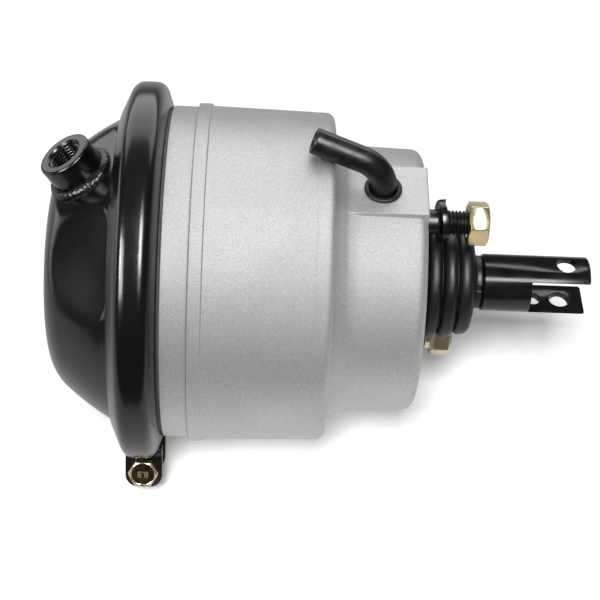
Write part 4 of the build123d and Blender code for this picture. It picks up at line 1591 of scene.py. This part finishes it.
# ---------------------------------------------------------------- boot
@dataclass
class Boot:
    """The rubber bellows between the housing and the fork end."""

    flange_x: float = -3.4
    flange_top: float = -1.6
    flange: Point = (20.3, 30.2)
    folds: tuple[Point, ...] = ((7.4, 28.1), (14.9, 27.9), (22.4, 26.0))
    half_fold: float = 2.95
    crest_round: float = 2.7
    valley: float = 21.4
    root: float = 22.4
    neck_x: float = 26.9
    end_x: float = 31.9
    neck_radius: float = 13.0
    bore: float = 9.3
    wall: float = 2.0
    start: float = 2.0
    stop: float = 27.0

    def outside(self) -> Outline:
        """The outer face, from the flange to the end of the neck."""
        line = Outline()
        line.to(self.flange_x, self.flange[1], 0.4).to(self.flange_top, self.flange[1], 0.5)
        line.to(self.flange_top, self.root, 0.8).to(self.folds[0][0] - self.half_fold - 0.7, self.root, 0.6)
        for index, (x, radius) in enumerate(self.folds[:-1]):
            line.to(x - self.half_fold, radius, self.crest_round)
            line.to(x + self.half_fold, radius, self.crest_round)
            between = (x + self.folds[index + 1][0]) / 2
            line.to(between, self.valley, 0.35)
        x, radius = self.folds[-1]
        line.to(x - self.half_fold, radius, self.crest_round).to(x + self.half_fold + 0.6, radius, 4.2)
        line.to(x + 5.7, self.neck_radius + 4.2, 5.0).to(x + 6.3, self.neck_radius + 0.1, 0.9)
        line.to(self.end_x, self.neck_radius, 0.7)
        return line

    def outline(self) -> list[Point]:
        """The whole section of the rubber wall."""
        line = self.outside()
        line.to(self.end_x, self.bore, 0.4).to(self.neck_x - 0.4, self.bore, 0.4)
        x, radius = self.folds[-1]
        line.to(x + 1.7, radius - self.wall - 0.4, 1.5).to(x - 1.2, radius - self.wall, 1.2)
        for index in (1, 0):
            x, radius = self.folds[index]
            between = (x + self.folds[index + 1][0]) / 2
            line.to(between, self.valley - self.wall + 0.4, 0.3)
            line.to(x + 1.2, radius - self.wall, 1.0).to(x - 1.2, radius - self.wall, 1.0)
        line.to(self.folds[0][0] - self.half_fold, self.flange[0], 0.8).to(self.flange_x, self.flange[0], 0.3)
        return line.points(1.2)

    def worn(self, x: float, radius: float, angle: float) -> Point:
        """A little slack in the rubber, and a small tear at the edge of the neck."""
        slack = 0.06 * math.sin(3 * angle + x * 0.3) + 0.04 * math.sin(7 * angle - x)
        share = smooth_step(self.root - 6, self.root, radius)
        if self.neck_x + 1 < x and radius > self.neck_radius - 1:
            near = abs((angle - math.radians(62) + math.pi) % FULL_TURN - math.pi)
            if near < math.radians(5):
                return x - 0.5 * (1 - near / math.radians(5)), radius - 0.35
        return x, radius + slack * share

    def build(self, shop: Shop) -> None:
        """Makes the boot, baked in place and fixed to no body."""
        mesh = spun(self.outline(), 200, shape=self.worn)
        shop.piece("boot_bellows", mesh, RUBBER, ["boot"], "black_rubber",
                   stretch=(self.start, self.stop), sharp=60.0)


# ---------------------------------------------------------------- fork end
@dataclass
class ForkEnd:
    """The round fork end: a slot, the pin's hole through both prongs and a side hole."""

    radius: float = 14.0
    back: float = 32.2
    length: float = 52.2
    slot: float = 20.0
    slot_depth: float = 28.6
    thread_radius: float = 8.0
    thread_depth: float = 18.3
    pin_radius: float = 5.0
    pin_position: float = 11.5
    side_radius: float = 4.0
    side_position: float = 24.7
    edge: float = 0.8
    soft: float = 0.35

    def build(self, shop: Shop) -> bpy.types.Object:
        """Makes the fork end and returns its object."""
        line = Outline().to(0, 0).to(0, self.radius - self.edge).to(self.edge, self.radius)
        line.to(self.length - self.edge, self.radius)
        line.to(self.length, self.radius - self.edge).to(self.length, 0)
        bar = moved(spun(line.points(closed=False), 144, closed=False), Matrix.Translation((self.back, 0, 0)))
        tip = self.back + self.length
        half = self.slot / 2
        slot = bmesh.new()
        bmesh.ops.create_cube(slot, size=1.0)
        bmesh.ops.scale(slot, vec=(self.slot_depth + 2, 60, self.slot), verts=slot.verts)
        bmesh.ops.translate(slot, vec=(tip - self.slot_depth / 2 + 1, 0, 0), verts=slot.verts)
        pin = self.drill(self.pin_radius, tip - self.pin_position, -half * 2, half * 2)
        side = self.drill(self.side_radius, tip - self.side_position, -half * 2, 0)
        bore, deep = self.thread_radius, self.thread_depth
        socket = [(-1, 0), (-1, bore), (deep, bore), (deep, 0)]
        bore = moved(spun(socket, 64, closed=False), Matrix.Translation((self.back, 0, 0)))
        mesh = cut_away(bar, slot, pin, side, bore)
        bmesh.ops.dissolve_limit(
            mesh, angle_limit=math.radians(0.5), verts=mesh.verts, edges=mesh.edges, delimit={"NORMAL"}
        )
        return shop.piece("fork_end_turned", softened(mesh, self.soft, 2, 38.0), BLACK_STEEL, ["fork_end"],
                          "black_steel", body=Body.ROD, sharp=34.0)

    @staticmethod
    def drill(radius: float, x: float, low: float, high: float) -> bmesh.types.BMesh:
        """A drill along Z at a place on the axis."""
        tool = spun([(low, 0), (low, radius), (high, radius), (high, 0)], 72, closed=False)
        return moved(tool, placed(Vector((x, 0, 0)), Vector((0, 0, 1)), Vector((1, 0, 0))))


# ---------------------------------------------------------------- breather
@dataclass
class Breather:
    """The bent rubber breather elbow in its grommet on the housing's pad."""

    x: float = -21.0
    turn: float = 7.0
    pad: float = 64.2
    foot: float = 52.0
    corner: float = 78.0
    tip: tuple[float, float, float] = (-54.0, 3.4, 88.8)
    bend: float = 16.0
    radius: float = 6.05
    bore: float = 4.2
    seam: float = 0.22
    seam_width: float = 0.09
    grommet: Point = (8.7, 1.6)
    grommet_bore: float = 6.5
    neck: float = 7.35

    def route(self) -> tuple[list[Vector], Vector]:
        """The elbow's centre line, and the direction square to the plane it bends in."""
        start = clock(self.turn, self.foot) + Vector((self.x, 0, 0))
        corner = clock(self.turn, self.corner) + Vector((self.x, 0, 0))
        end = clock(self.tip[1], self.tip[2]) + Vector((self.tip[0], 0, 0))
        back, ahead = (start - corner).normalized(), (end - corner).normalized()
        half = back.angle(ahead) / 2
        reach = self.bend / math.tan(half)
        centre = corner + (back + ahead).normalized() * (self.bend / math.sin(half))
        first, last = corner + back * reach, corner + ahead * reach
        sweep = math.pi - 2 * half
        a, b = first - centre, last - centre
        steps = 24
        points = [start.lerp(first, k / 6) for k in range(6)]
        points += [
            centre + (
                a * math.sin((1 - k / steps) * sweep) + b * math.sin(k / steps * sweep)
            ) / math.sin(sweep)
            for k in range(steps + 1)
        ]
        points += [last.lerp(end, k / 8) for k in range(1, 9)]
        return points, back.cross(ahead).normalized()

    def elbow(self) -> bmesh.types.BMesh:
        """The hollow elbow with its mould seam and a rounded mouth."""
        points, side = self.route()
        count = len(points)
        stops = [(k, self.radius) for k in range(count - 1)]
        stops += [(count - 1.35, self.radius), (count - 1.12, self.radius - 0.12),
                  (count - 1.0, self.radius - 0.5),
                  (count - 1.0, self.bore + 0.35), (count - 1.2, self.bore)]
        stops += [(k, self.bore) for k in range(count - 3, count - 14, -2)]
        mesh = bmesh.new()
        rings = []
        around = 72
        for where, radius in stops:
            low = min(int(where), count - 2)
            here = points[low].lerp(points[low + 1], where - low)
            ahead = (points[min(low + 2, count - 1)] - points[max(low - 1, 0)]).normalized()
            if low == count - 2:
                ahead = (points[-1] - points[-2]).normalized()
            up = side.cross(ahead)
            ring = []
            for k in range(around):
                angle = FULL_TURN * k / around
                seam = math.exp(-(math.sin(angle) / self.seam_width) ** 2) * self.seam
                reach = radius + (seam if radius > self.bore + 1 else 0.0)
                spoke = up * (math.cos(angle) * reach)
                ring.append(mesh.verts.new(here + spoke + side * (math.sin(angle) * reach)))
            rings.append(ring)
        for a, b in zip(rings, rings[1:]):
            for k in range(around):
                n = (k + 1) % around
                mesh.faces.new((a[k], a[n], b[n], b[k]))
        mesh.faces.new(reversed(rings[0]))
        mesh.faces.new(rings[-1])
        bmesh.ops.recalc_face_normals(mesh, faces=mesh.faces)
        return mesh

    def hole(self) -> bmesh.types.BMesh:
        """The tool that opens the pad for the grommet."""
        tool = spun([(-20, 0), (-20, self.neck + 0.1), (6, self.neck + 0.1), (6, 0)], 72, closed=False)
        return moved(tool, self.place())

    def place(self) -> Matrix:
        """X out of the pad, from its surface."""
        out = clock(self.turn, 1.0)
        return placed(Vector((self.x, 0, 0)) + out * self.pad, out, Vector((1, 0, 0)))

    def build(self, shop: Shop) -> None:
        """Makes the elbow and its grommet."""
        shop.piece("breather_tube", self.elbow(), TUBE_RUBBER, ["breather_elbow"], "black_rubber", sharp=60.0)
        radius, high = self.grommet
        line = Outline().to(0.02, self.neck).to(0.02, radius, 0.25).to(high, radius, 0.7)
        line.to(high, self.grommet_bore + 0.1, 0.35)
        line.to(-9.0, self.grommet_bore - 0.35, 0.3).to(-9.0, self.neck, 0.3)
        shop.piece("breather_grommet_ring", moved(spun(line.points(3.0), 96), self.place()), RUBBER,
                   ["breather_grommet"], "black_rubber", sharp=60.0)


# ---------------------------------------------------------------- inside the chamber
@dataclass
class Inside:
    """The diaphragm, the push plate, the rod and the return spring."""

    web: tuple[Point, ...] = (
        (-167.9, 46.5), (-163.9, 50.1), (-144.6, 60.0), (-137.1, 69.6), (-133.9, 77.6),
    )
    rubber: float = 3.0
    bead: Point = (77.6, 86.8)
    bead_face: float = -128.95
    diaphragm_span: Point = (-131.0, -165.0)
    plate_x: Point = (-166.1, -163.6)
    plate_radius: float = 44.7
    plate_rim: float = 5.2
    plate_lip: float = 1.5
    rivet: float = 6.4
    rod_flange: tuple[float, float, float] = (14.0, 4.0, 3.0)
    rod_radius: float = 9.0
    rod_shoulder: float = 32.2
    rod_thread: Point = (7.9, 50.0)
    rod_pitch: float = 1.5
    spring_span: Point = (-160.2, -13.6)
    spring_radii: Point = (36.0, 25.8)
    spring_turns: float = 5.5
    spring_wire: float = 2.5
    spring_stretch: Point = (-12.5, -160.0)

    def diaphragm(self, shop: Shop) -> None:
        """Makes the diaphragm, baked in place and fixed to no body."""
        half = self.rubber / 2
        line = Outline().to(self.web[0][0] - half, 0).to(self.web[0][0] - half, self.web[0][1], 2.5)
        back, front = [], []
        for index in range(1, len(self.web)):
            here = Vector(self.web[index])
            ahead = Vector(self.web[min(index + 1, len(self.web) - 1)]) - Vector(self.web[index - 1])
            square = Vector((-ahead.y, ahead.x)).normalized() * half
            back.append(here + square)
            front.append(here - square)
        for spot in back[:-1]:
            line.to(spot.x, spot.y, 3.0)
        rear = 2 * CLAMP.sheet + 2 * CLAMP.slip
        line.to(CLAMP.flank(self.bead[0], -1, rear), self.bead[0], 0.8)
        line.to(CLAMP.flank(self.bead[1], -1, rear), self.bead[1], 0.8)
        line.to(self.bead_face, self.bead[1], 0.8).to(self.bead_face, self.bead[0] - 0.4, 0.6)
        for spot in front[-2::-1]:
            line.to(spot.x, spot.y, 3.0)
        line.to(self.web[0][0] + half, self.web[0][1] - 1.2, 2.0).to(self.web[0][0] + half, 0)
        mesh = spun(line.points(4.0, closed=False), 160, closed=False)
        shop.piece("diaphragm_moulded", mesh, FABRIC_RUBBER, ["diaphragm"], "fabric_rubber",
                   stretch=self.diaphragm_span, sharp=50.0)

    def plate(self, shop: Shop) -> None:
        """Makes the pressed push plate."""
        back, front = self.plate_x
        sheet = front - back
        high = back + self.plate_rim + self.plate_lip
        line = Outline().to(back, self.rivet + 0.1, 0.2).to(back, self.plate_radius, self.plate_rim)
        line.to(high, self.plate_radius, 0.3).to(high, self.plate_radius - sheet, 0.3)
        line.to(front, self.plate_radius - sheet, self.plate_rim - sheet).to(front, self.rivet + 0.1, 0.2)
        shop.piece("push_plate_pressed", spun(line.points(6.0), 160), PLAIN_PLATE, ["push_plate"],
                   "plain_plate", body=Body.ROD)

    def rod(self, shop: Shop) -> None:
        """Makes the push rod with its riveted foot and its thread."""
        back, front = self.plate_x
        wide, tall, cone = self.rod_flange
        line = Outline().to(back - 0.05, 0).to(back - 0.05, self.rivet + 0.5, 0.3).to(front, self.rivet)
        line.to(front + 0.05, wide, 0.3).to(front + tall, wide, 0.5)
        line.to(front + tall + cone, self.rod_radius, 1.5).to(self.rod_shoulder - 0.1, self.rod_radius, 0.3)
        line.to(self.rod_shoulder - 0.1, self.rod_thread[0] - 1.0)
        line.to(self.rod_shoulder + 1.0, self.rod_thread[0] - 1.0)
        line.to(self.rod_shoulder + 1.0, 0)
        bar = spun(line.points(20.0, closed=False), 96, closed=False)
        length = self.rod_thread[1] - self.rod_shoulder
        thread = grown(
            shop.thread, length=length * MM, radius=self.rod_thread[0] * MM, pitch=self.rod_pitch * MM,
            depth=0.85 * MM, point=1.2 * MM, rings=int(length / self.rod_pitch * 12), segments=72,
        )
        thread = moved(capped(thread), Matrix.Translation((self.rod_shoulder, 0, 0)))
        shop.piece("push_rod_plated", joined(bar, thread), WHITE_ZINC, ["push_rod"], "white_zinc",
                   body=Body.ROD, sharp=50.0)

    def spring(self, shop: Shop) -> None:
        """Makes the return spring, baked in place and fixed to no body."""
        low, high = self.spring_span
        wire = self.spring_wire
        coil = grown(
            shop.coil, height=(high - low - 2 * wire) * MM, turns=self.spring_turns,
            first_radius=self.spring_radii[0] * MM, last_radius=self.spring_radii[1] * MM, wire=wire * MM,
        )
        place = Matrix.Translation((low + wire, 0, 0)) @ FLAT_TO_FACE
        bmesh.ops.recalc_face_normals(coil, faces=coil.faces)
        shop.piece("return_coil", moved(coil, place), SPRING_STEEL, ["return_spring"], "spring_steel",
                   stretch=self.spring_stretch, sharp=60.0)

    def build(self, shop: Shop) -> None:
        """Makes everything inside."""
        self.diaphragm(shop)
        self.plate(shop)
        self.rod(shop)
        self.spring(shop)


# ---------------------------------------------------------------- studio
class Lit(Enum):
    """What a lamp lights."""

    ALL = auto()
    CASTING = auto()
    FORK = auto()
    OTHERS = auto()


@dataclass(frozen=True)
class Panel:
    """One area lamp, placed round the camera's own direction in degrees and metres."""

    name: str
    turn: float
    rise: float
    away: float
    size: Point
    energy: float
    gloss: bool = True
    diffuse: bool = True
    lights: Lit = Lit.ALL


@dataclass
class Studio:
    """The camera, the lamps, the world and the pale floor."""

    casting: bpy.types.Object
    fork: bpy.types.Object
    yaw: float = 2.099
    elevation: float = 44.503
    roll: float = 3.463
    distance: float = 0.7322
    aside: Point = (0.00633, -0.01217)
    target_x: float = -0.0627
    lens: float = 89.6
    sensor: float = 36.0
    panels: tuple[Panel, ...] = (
        Panel("key", -4.0, 8.5, 4.0, (0.9, 0.9), 82.0, gloss=False),
        Panel("broad", 8.0, 19.0, 0.8, (1.2, 0.95), 4.4, lights=Lit.CASTING),
        Panel("high", 0.0, 80.0, 0.8, (1.2, 0.6), 2.7, lights=Lit.CASTING),
        Panel("fill", 0.0, -35.0, 0.9, (1.4, 0.8), 1.1, lights=Lit.CASTING),
        Panel("back", 0.0, 102.0, 1.0, (2.0, 0.8), 10.5, diffuse=False, lights=Lit.OTHERS),
        Panel("mid", 0.0, 47.0, 1.0, (1.6, 1.1), 0.6, diffuse=False, lights=Lit.OTHERS),
        Panel("left_strip", -38.0, 1.0, 1.0, (0.46, 0.5), 10.0, diffuse=False, lights=Lit.OTHERS),
        Panel("left_glow", -47.0, 10.0, 1.1, (0.14, 0.36), 4.0, diffuse=False, lights=Lit.OTHERS),
        Panel("right_strip", 15.0, 13.5, 1.0, (0.28, 0.5), 10.5, diffuse=False, lights=Lit.OTHERS),
        Panel("right_glow", 15.0, 12.0, 1.1, (0.3, 1.0), 3.6, diffuse=False, lights=Lit.OTHERS),
        Panel("wall", -112.0, -8.0, 1.2, (1.2, 0.9), 6.0, diffuse=False, lights=Lit.OTHERS),
        Panel("rod_strip", 6.0, 11.5, 1.0, (0.8, 0.2), 7.0, diffuse=False, lights=Lit.FORK),
        Panel("rod_top", 6.0, 74.0, 1.0, (0.8, 0.2), 2.2, diffuse=False, lights=Lit.FORK),
    )
    ambient: float = 0.1
    floor_gap: float = 0.0005
    floor_front: float = 0.2
    floor_back: float = 4.0
    floor_side: float = 3.0
    floor_seen: float = 2.4
    fade: tuple[float, float] = (0.35, 0.8)
    floor_gloss: float = 1.3
    floor_plain: float = 0.8

    def axes(self) -> tuple[Vector, Vector, Vector]:
        """The camera's right, up and backward directions."""
        turn, rise, roll = (math.radians(a) for a in (self.yaw, self.elevation, self.roll))
        back = Vector((-math.sin(turn) * math.cos(rise), -math.cos(turn) * math.cos(rise), math.sin(rise)))
        right0 = Vector((0, 0, 1)).cross(back).normalized()
        up0 = back.cross(right0)
        right = right0 * math.cos(roll) + up0 * math.sin(roll)
        up = up0 * math.cos(roll) - right0 * math.sin(roll)
        return right, up, back

    def camera(self) -> None:
        """Sets up the camera."""
        right, up, back = self.axes()
        spot = Vector((self.target_x, 0, 0)) + back * self.distance
        spot = spot + right * self.aside[0] + up * self.aside[1]
        data = bpy.data.cameras.new("view")
        data.lens = self.lens
        data.sensor_width = self.sensor
        data.sensor_fit = "HORIZONTAL"
        data.clip_start = 0.05
        data.clip_end = 50.0
        thing = bpy.data.objects.new("view", data)
        thing.matrix_world = Matrix.Translation(spot) @ Matrix((right, up, back)).transposed().to_4x4()
        bpy.context.scene.collection.objects.link(thing)
        bpy.context.scene.camera = thing

    def lamp(self, panel: Panel, pieces: dict[Lit, list[bpy.types.Object]]) -> None:
        """Adds an area lamp that faces the chamber.

        Args:
            panel: What the lamp is like.
            pieces: The pieces that each choice lights, or none for all of them.
        """
        right, up, back = self.axes()
        rise, turn = math.radians(panel.rise), math.radians(panel.turn)
        aim = (back * math.cos(rise) + up * math.sin(rise)) * math.cos(turn) + right * math.sin(turn)
        data = bpy.data.lights.new(panel.name, "AREA")
        data.shape = "RECTANGLE"
        data.size, data.size_y = panel.size
        data.energy = panel.energy
        thing = bpy.data.objects.new(panel.name, data)
        across = (Vector((1, 0, 0)) - aim * aim.x).normalized()
        frame = Matrix((across, aim.cross(across), aim)).transposed().to_4x4()
        thing.matrix_world = Matrix.Translation(Vector((self.target_x, 0, 0)) + aim * panel.away) @ frame
        thing.visible_glossy = panel.gloss
        thing.visible_diffuse = panel.diffuse
        thing.visible_camera = False
        bpy.context.scene.collection.objects.link(thing)
        if pieces[panel.lights]:
            lit = bpy.data.collections.new(panel.name + "_lights")
            for piece in pieces[panel.lights]:
                lit.objects.link(piece)
            thing.light_linking.receiver_collection = lit

    def lamps(self) -> None:
        """Sets up the lamps: some for the casting's broad sheen, some for the black gloss."""
        others = [o for o in bpy.data.objects if o.type == "MESH" and o not in (self.casting, self.fork)]
        pieces = {Lit.ALL: [], Lit.CASTING: [self.casting], Lit.FORK: [self.fork], Lit.OTHERS: others}
        for panel in self.panels:
            self.lamp(panel, pieces)

    def world(self) -> None:
        """Sets up the world: white where it is seen, plain for light."""
        world = bpy.data.worlds.new("studio")
        bpy.context.scene.world = world
        world.use_nodes = True
        g = Graph(world.node_tree)
        g.tree.nodes.clear()
        path = g.add("ShaderNodeLightPath").outputs
        seen = g.math("MAXIMUM", path["Is Camera Ray"], path["Is Transmission Ray"])
        level = g.spread(seen, 0.0, 1.0, self.ambient, 1.0)
        light = g.add("ShaderNodeBackground", {"Color": (1.0, 1.0, 1.0, 1.0), "Strength": level})
        g.add("ShaderNodeOutputWorld", {0: light.outputs[0]})

    def floor(self, low: float) -> None:
        """Adds the floor, which is white where no shadow falls.

        Args:
            low: Height of the chamber's lowest point in metres.
        """
        mesh = bmesh.new()
        corners = (
            (-self.floor_side, -self.floor_front), (self.floor_side, -self.floor_front),
            (self.floor_side, self.floor_back), (-self.floor_side, self.floor_back),
        )
        mesh.faces.new([mesh.verts.new((x, y, low - self.floor_gap)) for x, y in corners])
        block = bpy.data.meshes.new("floor")
        mesh.to_mesh(block)
        mesh.free()
        thing = bpy.data.objects.new("floor", block)
        bpy.context.scene.collection.objects.link(thing)
        material = bpy.data.materials.new("pale_floor")
        material.use_nodes = True
        g = Graph(material.node_tree)
        g.tree.nodes.clear()
        path = g.add("ShaderNodeLightPath").outputs
        seen = g.math("MAXIMUM", path["Is Camera Ray"], path["Is Transmission Ray"])
        gloss = g.spread(path["Is Glossy Ray"], 0.0, 1.0, self.floor_plain, self.floor_gloss)
        shade = g.math("ADD", g.math("MULTIPLY", seen, self.floor_seen), g.math(
            "MULTIPLY", g.math("SUBTRACT", 1.0, seen), gloss))
        matt = g.add("ShaderNodeBsdfDiffuse", {"Color": shade}).outputs[0]
        white = g.add("ShaderNodeEmission", {"Color": (1.0, 1.0, 1.0, 1.0), "Strength": 1.0}).outputs[0]
        spot = g.add("ShaderNodeTexCoord").outputs["Object"]
        away = g.add("ShaderNodeVectorMath", {0: spot}, operation="LENGTH").outputs["Value"]
        far = g.spread(away, self.fade[0], self.fade[1], 0.0, 1.0)
        both = g.add("ShaderNodeMixShader", {0: g.math("MULTIPLY", far, seen), 1: matt, 2: white}).outputs[0]
        g.add("ShaderNodeOutputMaterial", {0: both})
        block.materials.append(material)
        thing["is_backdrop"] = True

    def build(self, low: float) -> None:
        """Sets up the whole studio."""
        self.camera()
        self.lamps()
        self.world()
        self.floor(low)
        bpy.context.scene.view_settings.view_transform = "Standard"


# ---------------------------------------------------------------- the whole chamber
def plain(box: Any) -> list:
    """A box as plain lists of numbers."""
    return [[float(value) for value in corner] for corner in box]


def main() -> None:
    """Builds every sub-assembly on the frame."""
    logging.basicConfig(level=logging.INFO, format="%(message)s")
    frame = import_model()
    cad_box = plain(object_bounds())
    shop = Shop(Paints())
    port = Port()
    breather = Breather()
    casting = Housing(breather=breather).build(shop)
    Cover(port).build(shop)
    port.build(shop)
    Clamp().build(shop)
    Studs().build(shop)
    Boot().build(shop)
    fork = ForkEnd().build(shop)
    breather.build(shop)
    Inside().build(shop)
    shop.dress(frame["nodes"]["boot_retainer"], BLACK_STEEL)
    shop.dress(frame["nodes"]["spring_seat"], PLAIN_PLATE)
    Studio(casting, fork).build(cad_box[0][2])


if __name__ == "__main__":
    main()
